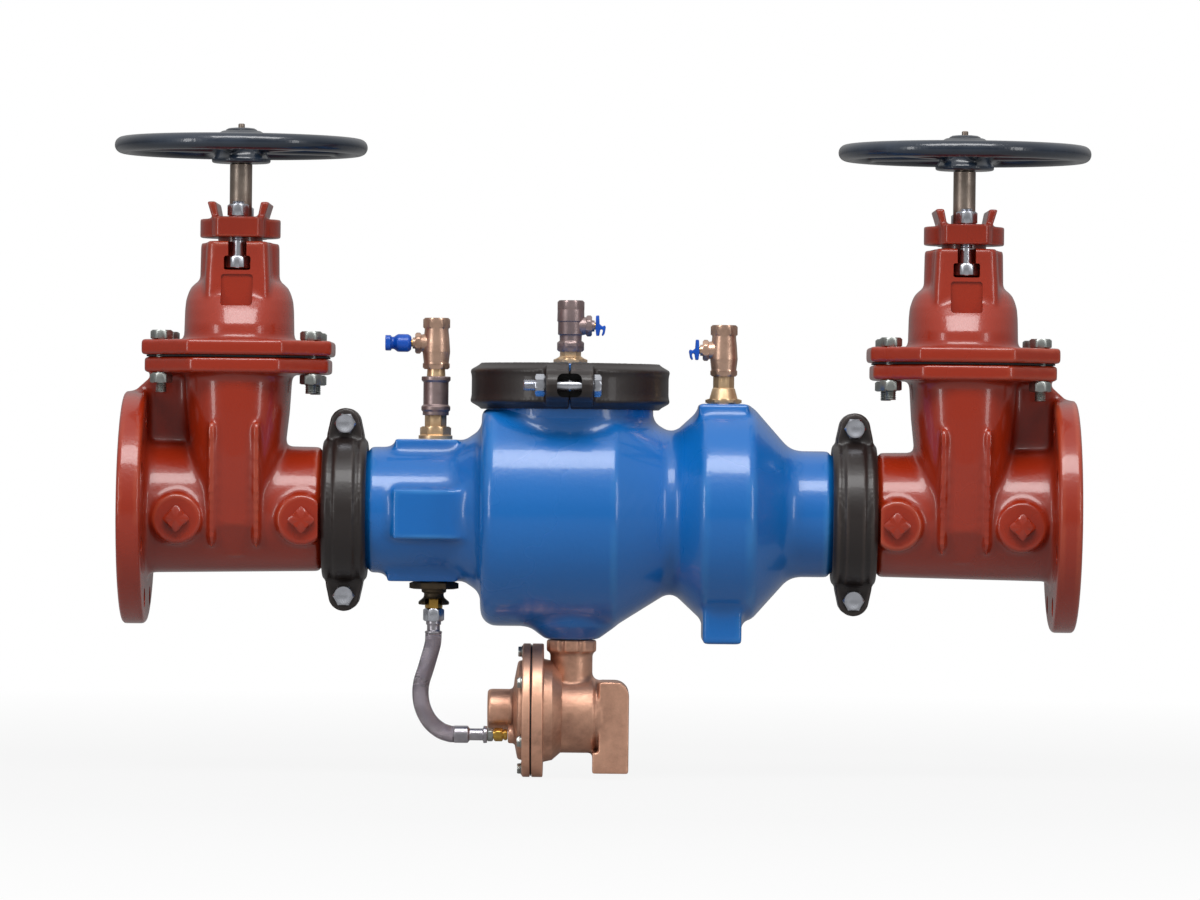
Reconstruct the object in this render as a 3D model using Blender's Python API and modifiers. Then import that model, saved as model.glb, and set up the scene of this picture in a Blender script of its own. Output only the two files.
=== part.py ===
"""Reduced-pressure backflow preventer for a 4 inch line, with a gate valve at each end.

Frame: origin at the centre of the inlet flange's face, +X along the flow, +Z up,
and the side with the nameplate pad and the coupling bolt heads towards -Y.
Each piece is modelled in the frame of the empty that it hangs on.
"""

import math

import bmesh
import bpy
from mathutils import Matrix, Vector

MM = 0.001
FIT = 0.3 * MM  # gap left between pieces that touch

# Pipe run: class 125 flange, grooved spigots, cast necks
BORE_RADIUS = 51.0 * MM
NECK_RADIUS = 61.0 * MM
FLANGE_RADIUS = 114.3 * MM
FLANGE_THICKNESS = 23.8 * MM
FLANGE_HUB = 3.0 * MM
BOLT_CIRCLE_RADIUS = 95.25 * MM
BOLT_HOLE_RADIUS = 9.5 * MM
BOLT_HOLES = 8
SPIGOT_RADIUS = 57.15 * MM
PIPE_END_GAP = 3.2 * MM
GROOVE_SETBACK = 12.7 * MM
GROOVE_WIDTH = 8.7 * MM
GROOVE_DEPTH = 2.1 * MM

# Gate valve castings
FLANGE_TO_STEM = 112.0 * MM
STEM_TO_JOINT = 106.0 * MM
BODY_TOP = 147.7 * MM
BODY_PLATE_LENGTH = 180.0 * MM
BODY_PLATE_WIDTH = 176.0 * MM
BODY_PLATE_THICKNESS = 15.5 * MM
PLATE_OVERHANG = 3.0 * MM
BONNET_PLATE_LENGTH = BODY_PLATE_LENGTH + 2 * PLATE_OVERHANG
BONNET_PLATE_WIDTH = BODY_PLATE_WIDTH + 2 * PLATE_OVERHANG
BONNET_PLATE_THICKNESS = 15.0 * MM
PLATE_CORNER_LENGTH = 47.5 * MM
PLATE_CORNER_WIDTH = 42.0 * MM
CHEST_WALL = 9.0 * MM
CHEST_DROP = 45.0 * MM
CHEST_OVERLAP = 7.7 * MM
CHEST_CORE_FOOT = 48.0 * MM
CORE_OVERLAP = 5.0 * MM
GASKET_THICKNESS = 1.5 * MM
BONNET_BOLT_X = BODY_PLATE_LENGTH / 2 - 17.0 * MM
BONNET_BOLT_Y = BODY_PLATE_WIDTH / 2 - 38.0 * MM
BONNET_BOLT_RADIUS = 5.5 * MM
BONNET_NUT_FLATS = 19.0 * MM
BONNET_NUT_HEIGHT = 10.0 * MM
PLUG_HEIGHT = -10.0 * MM
PLUG_NEAR_FLANGE = 56.0 * MM
PLUG_NEAR_JOINT = 66.0 * MM
PLUG_BOSS_RADIUS = 25.0 * MM
PLUG_BOSS_FACE = 68.0 * MM
PLUG_FLATS = 19.5 * MM
PLUG_HEAD = 8.0 * MM
CHEST_RIB_X = 21.0 * MM
CHEST_RIB_WIDTH = 6.0 * MM
GUSSET_THICKNESS = 13.0 * MM
NECK_CLEARANCE = 2.0 * MM

# Gate, stem and gland
WEDGE_RADIUS = 54.0 * MM
WEDGE_TOP_HALF = 20.5 * MM
WEDGE_FOOT_HALF = 16.5 * MM
WEDGE_HEADROOM = 3.0 * MM
GATE_CLEARANCE = 0.8 * MM
HOOD_TOP = 84.0 * MM
HOOD_HALF_WIDTH = 25.0 * MM
STEM_NUT_HEIGHT = 16.0 * MM
STEM_NUT_SPAN = 32.0 * MM
STEM_NUT_LEVEL = 60.0 * MM
STEM_RADIUS = 11.0 * MM
STEM_FOOT = 58.0 * MM
STEM_RUN_CLEARANCE = 0.7 * MM
COLLAR_RADIUS = 21.5 * MM
COLLAR_HEIGHT = 9.5 * MM
BONNET_RISE = 47.3 * MM
ROOF_THICKNESS = 10.0 * MM
BOX_RADIUS = 22.5 * MM
BOX_DEPTH = 56.4 * MM
TOWER_ROOT = 19.0 * MM
TOWER_TOP_HALF = 30.5 * MM
TOWER_FOOT_HALF = 35.0 * MM
TOWER_TOP_DEPTH = 52.0 * MM
TOWER_FOOT_DEPTH = 58.0 * MM
BARREL_RADIUS = 38.5 * MM
GLAND_BOLT_Y = 40.0 * MM
GLAND_BOLT_RADIUS = 6.0 * MM
GLAND_HEAD_FLATS = 22.0 * MM
GLAND_HEAD_HEIGHT = 11.5 * MM
GLAND_NUT_FLATS = 18.5 * MM
GLAND_NUT_HEIGHT = 11.0 * MM
SLOT_HALF = 9.0 * MM
POCKET_LIP = 14.4 * MM
POCKET_HEIGHT = 14.0 * MM
PANEL_HALF = 14.5 * MM
PANEL_RISE = 4.0 * MM
PANEL_DEPTH = 0.5 * MM
GLAND_STAND = 4.1 * MM
GLAND_PLATE_HEIGHT = 20.0 * MM
GLAND_HALF_WIDTH = 24.5 * MM
GLAND_HALF_DEPTH = 52.0 * MM
GLAND_DISC_RADIUS = 39.5 * MM
GLAND_EAR_HEIGHT = 14.7 * MM
GLAND_EAR_DEPTH = 44.0 * MM
GLAND_EAR_THICKNESS = 6.0 * MM
GLAND_EAR_FLARE = 6.0 * MM
GLAND_NOSE = 14.0 * MM

# Handwheel
WHEEL_RADIUS = 124.5 * MM
RIM_RADIUS = 8.2 * MM
WHEEL_STAND = 70.5 * MM
HUB_RADIUS = 29.0 * MM
HUB_DROP = 16.7 * MM
HUB_RISE = 15.5 * MM
HUB_BORE_RADIUS = 8.0 * MM
SPOKES = 5
SPOKE_HALF_WIDTH = 8.0 * MM
SPOKE_HALF_HEIGHT = 5.5 * MM

# Levels along the stem, from the pipe's axis up
CHEST_ROOF = BODY_TOP + BONNET_RISE
BOX_FLOOR = CHEST_ROOF + ROOF_THICKNESS
TOWER_FOOT = CHEST_ROOF - TOWER_ROOT
TOWER_TOP = BOX_FLOOR + BOX_DEPTH
POCKET_ROOF = TOWER_TOP - POCKET_LIP
POCKET_FLOOR = POCKET_ROOF - POCKET_HEIGHT
POCKET_HALF = GLAND_HEAD_FLATS / math.sqrt(3) + FIT
GLAND_FOOT = TOWER_TOP + GLAND_STAND
WHEEL_LEVEL = GLAND_FOOT + GLAND_PLATE_HEIGHT + WHEEL_STAND
HUB_FOOT = WHEEL_LEVEL - HUB_DROP
HUB_TOP = WHEEL_LEVEL + HUB_RISE
WEDGE_LIFT = CHEST_ROOF - HOOD_TOP - WEDGE_HEADROOM

# Line couplings and the clamp of the access cover
HOUSING_HALF_WIDTH = 22.0 * MM
HOUSING_KEY_CLEARANCE = 0.6 * MM
HOUSING_HEIGHT = 15.8 * MM
CLAMP_HALF_WIDTH = 23.6 * MM
CLAMP_HEIGHT = 14.2 * MM
CLAMP_CLEARANCE = 1.5 * MM
CLAMP_LUG_GAP = 12.0 * MM
CLAMP_LUG_THICKNESS = 11.0 * MM
GASKET_HEIGHT = 9.0 * MM
SPLIT_GAP = 1.6 * MM
LUG_THICKNESS = 20.0 * MM
LUG_FOOT_HALF = 18.0 * MM
LUG_RADIUS = 15.5 * MM
LUG_REACH = 28.0 * MM
COUPLING_BOLT_RADIUS = 5.6 * MM
COUPLING_BOLT_FLATS = 18.7 * MM
COUPLING_NUT_HEIGHT = 10.0 * MM
BOLT_HOLE_CLEARANCE = 0.9 * MM

# Main body, along X from its inlet end
BODY_WALL = 9.0 * MM
BODY_NECK_RADIUS = 62.0 * MM
INLET_NECK_LENGTH = 106.0 * MM
FLARE_LENGTH = 28.0 * MM
CHAMBER_LENGTH = 131.0 * MM
CHAMBER_RADIUS = 113.0 * MM
CHAMBER_CORNER = 17.0 * MM
CHAMBER_TAPER = 52.0 * MM
WAIST_LENGTH = 7.0 * MM
WAIST_RADIUS = 80.0 * MM
BULB_SHOULDER = 28.0 * MM
BULB_LENGTH = 47.0 * MM
BULB_RADIUS = 106.0 * MM
BULB_TAPER = 39.0 * MM
OUTLET_NECK_LENGTH = 62.0 * MM
FLARE_START = INLET_NECK_LENGTH
CHAMBER_START = FLARE_START + FLARE_LENGTH
CHAMBER_END = CHAMBER_START + CHAMBER_LENGTH
WAIST_START = CHAMBER_END + CHAMBER_TAPER
WAIST_END = WAIST_START + WAIST_LENGTH
BULB_START = WAIST_END + BULB_SHOULDER
BULB_END = BULB_START + BULB_LENGTH
OUTLET_NECK_START = BULB_END + BULB_TAPER
BODY_LENGTH = OUTLET_NECK_START + OUTLET_NECK_LENGTH
PORT_X = CHAMBER_START + 86.0 * MM
PORT_LIP_RADIUS = 84.15 * MM
PORT_JOINT = CHAMBER_RADIUS + 10.0 * MM
PORT_WALL = 8.0 * MM
RELIEF_PORT_X = PORT_X + 4.0 * MM
RELIEF_PORT_END = CHAMBER_RADIUS + 12.5 * MM
RELIEF_PORT_ROOT = 28.0 * MM
RELIEF_PORT_RADIUS = 25.5 * MM
RELIEF_PORT_BORE = 17.0 * MM
INLET_TAP_X = 88.0 * MM
OUTLET_TAP_X = BULB_START + 19.0 * MM
TAP_BORE_RADIUS = 8.0 * MM
TAP_PAD_START = INLET_TAP_X - 40.0 * MM
TAP_PAD_END = INLET_TAP_X + 24.0 * MM
TAP_PAD_FACE = BODY_NECK_RADIUS + 7.8 * MM
TAP_PAD_HALF = 25.0 * MM
NAMEPLATE_PAD_END = TAP_PAD_END + 10.0 * MM
NAMEPLATE_PAD_FACE = BODY_NECK_RADIUS + 5.5 * MM
BULB_PAD_HALF_LENGTH = 25.0 * MM
BULB_PAD_HALF_WIDTH = 45.0 * MM
BULB_PAD_FACE = BULB_RADIUS + 1.5 * MM
FOOT_HALF_LENGTH = 19.0 * MM
FOOT_HALF_WIDTH = 55.0 * MM
FOOT_FACE = BULB_RADIUS + 21.5 * MM

# Check valves, along X from the seat's upstream face
SEAT_THICKNESS = 12.0 * MM
SEAT_BORE_RADIUS = 45.0 * MM
POPPET_RADIUS = 50.0 * MM
POPPET_THICKNESS = 10.0 * MM
CAGE_RADIUS = 57.5 * MM
CAGE_LEGS = 3
CAGE_LEG_WIDTH = 8.0 * MM
CAGE_HUB_START = 75.0 * MM
CAGE_HUB_THICKNESS = 7.0 * MM
CAGE_HUB_RADIUS = 21.0 * MM
POPPET_STEM_RADIUS = 8.0 * MM
POPPET_STEM_END = 98.0 * MM
SPRING_RADIUS = 17.0 * MM
SPRING_WIRE_RADIUS = 1.8 * MM
SPRING_TURNS = 4
FIRST_SEAT_X = CHAMBER_START + BODY_WALL + FIT
FIRST_SEAT_RADIUS = 68.0 * MM
SECOND_SEAT_X = WAIST_START - 3.0 * MM

# Relief valve, along X from the joint between its body and its cover
RELIEF_NECK_X = 39.0 * MM
RELIEF_JOINT_X = RELIEF_PORT_X - RELIEF_NECK_X
RELIEF_DROP = 70.2 * MM
RELIEF_AXIS = -RELIEF_PORT_END - RELIEF_DROP
RELIEF_FLANGE_RADIUS = 65.7 * MM
RELIEF_FLANGE_THICKNESS = 11.0 * MM
RELIEF_COVER_FLANGE = 8.0 * MM
RELIEF_STEP_RADIUS = 48.0 * MM
RELIEF_SHOULDER_RADIUS = 49.0 * MM
RELIEF_WAIST_RADIUS = 43.0 * MM
RELIEF_STEP_END = 16.0 * MM
RELIEF_HUB_RADIUS = 20.7 * MM
RELIEF_HUB_END = 43.0 * MM
RELIEF_BARREL_RADIUS = 37.5 * MM
RELIEF_BARREL_DROP = 4.0 * MM
RELIEF_BARREL_START = 29.0 * MM
RELIEF_BARREL_END = 62.0 * MM
RELIEF_SEAT_X = 56.0 * MM
RELIEF_SEAT_BORE = 19.0 * MM
RELIEF_CHAMBER_RADIUS = 28.0 * MM
RELIEF_WEB_START = 26.0 * MM
RELIEF_WEB_END = 30.0 * MM
RELIEF_WEB_BORE = 10.0 * MM
RELIEF_DISH_RADIUS = 42.0 * MM
RELIEF_DISH_DEPTH = 15.0 * MM
RELIEF_COLLAR_FLATS = 48.0 * MM
RELIEF_COLLAR_HEIGHT = 11.8 * MM
RELIEF_NECK_RADIUS = 19.5 * MM
RELIEF_NECK_BORE = 14.0 * MM
RELIEF_BOLTS = 6
RELIEF_BOLT_CIRCLE = 57.5 * MM
RELIEF_BOLT_FLATS = 10.0 * MM
RELIEF_BOLT_HEAD = 4.5 * MM
VENT_START = 60.5 * MM
VENT_END = 96.0 * MM
VENT_RISE = 29.7 * MM
VENT_DROP = 60.3 * MM
VENT_HALF_WIDTH = 33.0 * MM
VENT_WALL = 4.5 * MM
VENT_CORNER = 27.0 * MM
DIAPHRAGM_THICKNESS = 1.0 * MM
PLUNGER_STEM_RADIUS = 5.5 * MM
PLUNGER_PLATE_RADIUS = 27.0 * MM
PLUNGER_PLATE_THICKNESS = 4.5 * MM
PLUNGER_DISC_RADIUS = 23.5 * MM
PLUNGER_DISC_START = 39.5 * MM
PLUNGER_DISC_END = 48.0 * MM
PLUNGER_STEM_START = -36.0 * MM
RELIEF_SPRING_RADIUS = 13.0 * MM
RELIEF_SPRING_WIRE = 1.5 * MM
RELIEF_SPRING_TURNS = 3

# Sensing line
HOSE_RADIUS = 8.0 * MM
HOSE_SEGMENTS = 15
HOSE_ENTRY_Y = -20.0 * MM
HOSE_ENTRY_DROP = 23.5 * MM
FERRULE_RADIUS = 8.5 * MM
FERRULE_LENGTH = 12.0 * MM
HOSE_NUT_FLATS = 18.0 * MM
HOSE_NUT_LENGTH = 12.0 * MM
UNION_FLATS = 11.5 * MM
UNION_LENGTH = 15.0 * MM
UNION_NUT_FLATS = 15.5 * MM
UNION_NUT_LENGTH = 8.5 * MM
TAIL_RADIUS = 5.9 * MM
TAIL_LENGTH = 15.0 * MM
LOWER_FERRULE_LENGTH = 14.0 * MM
ADAPTER_PLATE_FLATS = 42.0 * MM
ADAPTER_PLATE_HEIGHT = 7.4 * MM
ADAPTER_HEIGHT = 27.0 * MM

# Test cocks, along Z from the foot of the cock
COCK_HEIGHT = 50.5 * MM
COCK_FLATS = 26.5 * MM
COCK_FOOT_HEX = 9.0 * MM
COCK_TOP_HEX = 10.5 * MM
COCK_BARREL_RADIUS = 12.6 * MM
COCK_BORE_RADIUS = 5.5 * MM
COCK_SOCKET_RADIUS = 8.5 * MM
COCK_SOCKET_DEPTH = 13.0 * MM
COCK_BALL_RADIUS = 8.6 * MM
COCK_BALL_CLEARANCE = 1.2 * MM
COCK_AXIS = 25.5 * MM
COCK_SPINDLE_RADIUS = 3.6 * MM
COCK_NUT_FLATS = 18.0 * MM
COCK_NUT_END = 21.5 * MM
COCK_HANDLE_END = 50.0 * MM
NIPPLE_RADIUS = 9.6 * MM
RISER_HEIGHT = 68.4 * MM
COVER_STACK_HEIGHT = 11.5 * MM
OUTLET_STACK_HEIGHT = 26.8 * MM
BUSHING_FLATS = 29.0 * MM

# Positions along the line, from the inlet flange's face
INLET_STEM_X = FLANGE_TO_STEM
INLET_JOINT_X = INLET_STEM_X + STEM_TO_JOINT
OUTLET_JOINT_X = INLET_JOINT_X + BODY_LENGTH
OUTLET_STEM_X = OUTLET_JOINT_X + STEM_TO_JOINT

X_AXIS = Matrix.Rotation(math.pi / 2, 4, "Y")  # turns the Z axis to X
HALF_TURN = Matrix.Rotation(math.pi, 4, "Z")

# Sides of round shapes, by size: nested pieces share one number, so that their flats line up
SQUARE_SIDES = 4
SMALL_SIDES = 6
COARSE_SIDES = 8
MEDIUM_SIDES = 12
LARGE_SIDES = 16
RIM_SIDES = 24


def empty_scene():
    for obj in list(bpy.data.objects):
        bpy.data.objects.remove(obj)


def new_collection(name):
    group = bpy.data.collections.new(name)
    bpy.context.scene.collection.children.link(group)
    return group


def paint(name, colour, roughness, metallic=0.0):
    """A Principled material with one colour."""
    material = bpy.data.materials.new(name)
    material.use_nodes = True
    shader = material.node_tree.nodes["Principled BSDF"]
    shader.inputs["Base Color"].default_value = (*colour, 1.0)
    shader.inputs["Roughness"].default_value = roughness
    shader.inputs["Metallic"].default_value = metallic
    return material


def mesh_object(mesh, place=None):
    """A loose working object in the parts collection."""
    obj = bpy.data.objects.new("blank", mesh)
    parts.objects.link(obj)
    if place is not None:
        mesh.transform(place)
    return obj


def baked(obj):
    """Replaces an object's mesh by what its modifiers make of it, with its normals outwards."""
    bpy.context.view_layer.update()
    evaluated = obj.evaluated_get(bpy.context.evaluated_depsgraph_get())
    mesh = bpy.data.meshes.new_from_object(evaluated)
    obj.modifiers.clear()
    cage = bmesh.new()
    cage.from_mesh(mesh)
    bmesh.ops.remove_doubles(cage, verts=cage.verts, dist=1e-6)
    bmesh.ops.recalc_face_normals(cage, faces=cage.faces)
    cage.to_mesh(mesh)
    cage.free()
    obj.data = mesh
    return obj


def combined(base, tools, operation):
    """Joins the tools to the base or cuts them from it, and removes them."""
    for tool in tools:
        modifier = base.modifiers.new(operation.lower(), "BOOLEAN")
        modifier.operation = operation
        modifier.solver = "EXACT"
        modifier.object = tool
        baked(base)
        bpy.data.objects.remove(tool)
    return base


def joined(base, *tools):
    return combined(base, tools, "UNION")


def cut(base, *tools):
    return combined(base, tools, "DIFFERENCE")


def turned(profile, steps, place=None, ring=False):
    """A solid of revolution about Z from (height, radius) pairs that run down its outer side."""
    mesh = bpy.data.meshes.new("profile")
    count = len(profile)
    edges = [(i, i + 1) for i in range(count - 1)] + ([(count - 1, 0)] if ring else [])
    mesh.from_pydata([(radius, 0, height) for height, radius in profile], edges, [])
    obj = mesh_object(mesh)
    screw = obj.modifiers.new("turn", "SCREW")
    screw.steps = screw.render_steps = steps
    screw.use_merge_vertices = True
    screw.merge_threshold = 1e-6
    baked(obj)
    if place is not None:
        obj.data.transform(place)
    return obj


def rod(radius, low, high, steps=MEDIUM_SIDES, place=None, top_radius=None):
    """A round bar or cone between two heights on Z."""
    cage = bmesh.new()
    bmesh.ops.create_cone(
        cage,
        cap_ends=True,
        segments=steps,
        radius1=radius,
        radius2=radius if top_radius is None else top_radius,
        depth=high - low,
        matrix=Matrix.Translation((0, 0, (low + high) / 2)),
    )
    mesh = bpy.data.meshes.new("rod")
    cage.to_mesh(mesh)
    cage.free()
    return mesh_object(mesh, place)


def hexagon(flats, low, high, place=None):
    """A hexagonal prism on Z with a flat towards +Y and -Y."""
    turn = Matrix.Rotation(math.pi / 6, 4, "Z")
    return rod(flats / math.sqrt(3), low, high, SMALL_SIDES, turn if place is None else place @ turn)


def block(low, high, place=None):
    """A box between two corners."""
    low, high = Vector(low), Vector(high)
    cage = bmesh.new()
    bmesh.ops.create_cube(cage, size=1.0)
    size = Matrix.Diagonal((high - low).to_4d())
    cage.transform(Matrix.Translation((low + high) / 2) @ size)
    mesh = bpy.data.meshes.new("block")
    cage.to_mesh(mesh)
    cage.free()
    return mesh_object(mesh, place)


def plate(outline, low, high, place=None):
    """A flat outline in XY, filled and extruded between two heights on Z."""
    curve = bpy.data.curves.new("outline", "CURVE")
    curve.dimensions = "2D"
    curve.fill_mode = "BOTH"
    curve.extrude = (high - low) / 2
    spline = curve.splines.new("POLY")
    spline.points.add(len(outline) - 1)
    for point, (x, y) in zip(spline.points, outline):
        point.co = (x, y, 0, 1)
    spline.use_cyclic_u = True
    sketch = bpy.data.objects.new("outline", curve)
    parts.objects.link(sketch)
    bpy.context.view_layer.update()
    evaluated = sketch.evaluated_get(bpy.context.evaluated_depsgraph_get())
    mesh = bpy.data.meshes.new_from_object(evaluated)
    bpy.data.objects.remove(sketch)
    mesh.transform(Matrix.Translation((0, 0, (low + high) / 2)))
    return baked(mesh_object(mesh, place))


def loft(sections, place=None):
    """A closed skin over rings of equally many points, with flat ends."""
    cage = bmesh.new()
    rings = [[cage.verts.new(point) for point in ring] for ring in sections]
    for lower, upper in zip(rings, rings[1:]):
        for i, vertex in enumerate(lower):
            after = (i + 1) % len(lower)
            cage.faces.new((vertex, lower[after], upper[after], upper[i]))
    cage.faces.new(reversed(rings[0]))
    cage.faces.new(rings[-1])
    mesh = bpy.data.meshes.new("loft")
    cage.to_mesh(mesh)
    cage.free()
    return baked(mesh_object(mesh, place))


def oval(half_length, half_width, height, squareness=2.6, count=MEDIUM_SIDES):
    """A ring of points between an ellipse (2) and a rectangle, at one height."""
    points = []
    for i in range(count):
        angle = math.tau * i / count
        across, along = math.cos(angle), math.sin(angle)
        x = math.copysign(abs(across) ** (2 / squareness), across) * half_length
        y = math.copysign(abs(along) ** (2 / squareness), along) * half_width
        points.append((x, y, height))
    return points


def arc(centre, radius, start, end, count):
    """Points on an arc, from one angle in degrees to another."""
    points = []
    for i in range(count + 1):
        angle = math.radians(start + (end - start) * i / count)
        points.append((centre[0] + radius * math.cos(angle), centre[1] + radius * math.sin(angle)))
    return points


def wire(points, radius, resolution=2, closed=False):
    """A round wire or tube along points, as a mesh."""
    curve = bpy.data.curves.new("wire", "CURVE")
    curve.dimensions = "3D"
    curve.bevel_depth = radius
    curve.bevel_resolution = resolution
    curve.use_fill_caps = not closed
    spline = curve.splines.new("POLY")
    spline.points.add(len(points) - 1)
    for point, place in zip(spline.points, points):
        point.co = (*place, 1)
    spline.use_cyclic_u = closed
    sketch = bpy.data.objects.new("wire", curve)
    parts.objects.link(sketch)
    bpy.context.view_layer.update()
    evaluated = sketch.evaluated_get(bpy.context.evaluated_depsgraph_get())
    mesh = bpy.data.meshes.new_from_object(evaluated)
    bpy.data.objects.remove(sketch)
    return baked(mesh_object(mesh))


def at(x=0.0, y=0.0, z=0.0):
    return Matrix.Translation((x, y, z))


def hanger(name, place):
    """An empty that carries the pieces of one assembly."""
    empty = bpy.data.objects.new(name, None)
    parts.objects.link(empty)
    empty.matrix_world = place
    return empty


def node(obj, name, material, parent, origin=(0, 0, 0)):
    """Names a finished piece, paints it, and hangs it on its empty with its own origin."""
    obj.name = obj.data.name = name
    obj.data.materials.clear()
    obj.data.materials.append(material)
    obj.data.transform(Matrix.Translation(-Vector(origin)))
    obj.parent = parent
    obj.location = origin
    obj.data.shade_smooth()
    obj.data.set_sharp_from_angle(angle=math.radians(35))
    return obj


def copied(obj, name, parent):
    """Another piece of the same shape, on another empty."""
    twin = bpy.data.objects.new(name, obj.data)
    parts.objects.link(twin)
    twin.parent = parent
    twin.location = obj.location
    twin.rotation_euler = obj.rotation_euler
    return twin


# Gate valve: origin where the stem's axis meets the pipe's, flange towards -X


def grooved_end(end, neck_radius, neck_end):
    """(x, radius) pairs from a pipe's grooved end back to its cast neck."""
    groove = end - GROOVE_SETBACK
    bottom = SPIGOT_RADIUS - GROOVE_DEPTH
    return [
        (end, BORE_RADIUS - 1 * MM),
        (end, SPIGOT_RADIUS),
        (groove, SPIGOT_RADIUS),
        (groove, bottom),
        (groove - GROOVE_WIDTH, bottom),
        (groove - GROOVE_WIDTH, SPIGOT_RADIUS),
        (neck_end, SPIGOT_RADIUS),
        (neck_end, neck_radius),
    ]


def octagon(length, width):
    """The bonnet joint's outline: a rectangle with its corners cut off."""
    x, y = length / 2, width / 2
    near_x, near_y = x - PLATE_CORNER_LENGTH, y - PLATE_CORNER_WIDTH
    corners = [(near_x, -y), (x, -near_y), (x, near_y), (near_x, y)]
    return corners + [(-cx, -cy) for cx, cy in corners]


def bonnet_bolt_places():
    return [(sx * BONNET_BOLT_X, sy * BONNET_BOLT_Y) for sx in (-1, 1) for sy in (-1, 1)]


def bolt_holes(low, high):
    radius = BONNET_BOLT_RADIUS + BOLT_HOLE_CLEARANCE
    return [rod(radius, low, high, SMALL_SIDES, at(x, y)) for x, y in bonnet_bolt_places()]


def chest_sections():
    """The gate chest's outer skin: rings up its side, from its keel into the joint's plate."""
    shape = [
        (-CHEST_DROP, 31 * MM, 48 * MM),
        (-15 * MM, 37 * MM, 66 * MM),
        (50 * MM, 45 * MM, 76 * MM),
        (BODY_TOP - CHEST_OVERLAP, 53 * MM, 79 * MM),
    ]
    return [oval(half_length, half_width, height) for height, half_length, half_width in shape]


def gate_shape(grow, lift=0.0):
    """The tapered disc of the gate, or with a lift the slot that it slides down to its seat in."""
    radius = WEDGE_RADIUS + grow
    taper = (WEDGE_TOP_HALF - WEDGE_FOOT_HALF) / (2 * WEDGE_RADIUS)
    middle = (WEDGE_TOP_HALF + WEDGE_FOOT_HALF) / 2 + grow
    disc = rod(radius, -middle, middle, LARGE_SIDES, X_AXIS)
    if lift:
        joined(disc, block((-middle, -radius, 0), (middle, radius, lift)))
    for vertex in disc.data.vertices:
        side = math.copysign(1, vertex.co.x)
        vertex.co.x = side * (middle + taper * vertex.co.z)
    return disc


def valve_body():
    end = STEM_TO_JOINT - PIPE_END_GAP / 2
    neck_end = STEM_TO_JOINT - HOUSING_HALF_WIDTH - NECK_CLEARANCE
    face = -FLANGE_TO_STEM
    back = face + FLANGE_THICKNESS
    run = [(end, 0.0)] + grooved_end(end, NECK_RADIUS, neck_end)[1:]
    run += [
        (back, NECK_RADIUS + FLANGE_HUB),
        (back, FLANGE_RADIUS),
        (face, FLANGE_RADIUS),
        (face, 0.0),
    ]
    body = turned(run, LARGE_SIDES, X_AXIS)
    top = BODY_TOP - BODY_PLATE_THICKNESS
    chest = loft(chest_sections())
    lid = plate(octagon(BODY_PLATE_LENGTH, BODY_PLATE_WIDTH), top, BODY_TOP)
    web = [
        (-30 * MM, BODY_TOP - 6 * MM),
        (-BODY_PLATE_LENGTH / 2 + 4 * MM, BODY_TOP - 6 * MM),
        (-BODY_PLATE_LENGTH / 2 + 4 * MM, top - 3 * MM),
        (back - 16 * MM, FLANGE_RADIUS - 4 * MM),
        (back - 16 * MM, 60 * MM),
        (-30 * MM, 50 * MM),
    ]
    upright = Matrix.Rotation(math.pi / 2, 4, "X")
    gusset = plate(web, -GUSSET_THICKNESS / 2, GUSSET_THICKNESS / 2, upright)
    joined(body, chest, lid, gusset)
    plug_head = (PLUG_BOSS_FACE - 4 * MM, PLUG_BOSS_FACE + PLUG_HEAD)
    for side in (-1, 1):
        turn = Matrix.Rotation(side * math.pi / 2, 4, "X")
        for x in (-PLUG_NEAR_FLANGE, PLUG_NEAR_JOINT):
            place = at(x, 0, PLUG_HEIGHT) @ turn
            boss = rod(PLUG_BOSS_RADIUS, 30 * MM, PLUG_BOSS_FACE, MEDIUM_SIDES, place)
            if x > 0:
                cut(boss, block((neck_end, -0.1, -0.1), (0.2, 0.1, 0.1)))
            joined(body, boss, rod(PLUG_FLATS / math.sqrt(2), *plug_head, SQUARE_SIDES, place))
        for x in (-CHEST_RIB_X, CHEST_RIB_X):
            half = CHEST_RIB_WIDTH / 2
            ridge = [
                (x + dx, side * y, z)
                for z, y in ((-38 * MM, 57 * MM), (62 * MM, 80 * MM))
                for dx, y in ((-half, y), (half, y), (half, 30 * MM), (-half, 30 * MM))
            ]
            joined(body, loft([ridge[:4], ridge[4:]]))
    bore = rod(BORE_RADIUS, face - 0.01, end + 0.01, LARGE_SIDES, X_AXIS)
    chest_core = loft(
        [
            oval(45 * MM - CHEST_WALL, 75 * MM - CHEST_WALL, CHEST_CORE_FOOT),
            oval(53 * MM - CHEST_WALL, 79 * MM - CHEST_WALL, BODY_TOP + 2 * MM),
        ]
    )
    cut(body, bore, gate_shape(GATE_CLEARANCE, CHEST_CORE_FOOT + CORE_OVERLAP), chest_core)
    cut(body, *bolt_holes(top - 2 * MM, BODY_TOP + 2 * MM))
    for i in range(BOLT_HOLES):
        angle = math.tau * (i + 0.5) / BOLT_HOLES
        y, z = BOLT_CIRCLE_RADIUS * math.cos(angle), BOLT_CIRCLE_RADIUS * math.sin(angle)
        cut(body, rod(BOLT_HOLE_RADIUS, face - 2 * MM, back + 2 * MM, COARSE_SIDES, at(0, y, z) @ X_AXIS))
    return body


def bonnet_gasket():
    low = BODY_TOP + FIT
    high = low + GASKET_THICKNESS
    sheet = plate(octagon(BODY_PLATE_LENGTH - 4 * MM, BODY_PLATE_WIDTH - 4 * MM), low, high)
    size = (53 * MM - CHEST_WALL + MM, 79 * MM - CHEST_WALL + MM)
    opening = loft([oval(*size, low - MM), oval(*size, high + MM)])
    return cut(sheet, opening, *bolt_holes(low - MM, high + MM))


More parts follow.
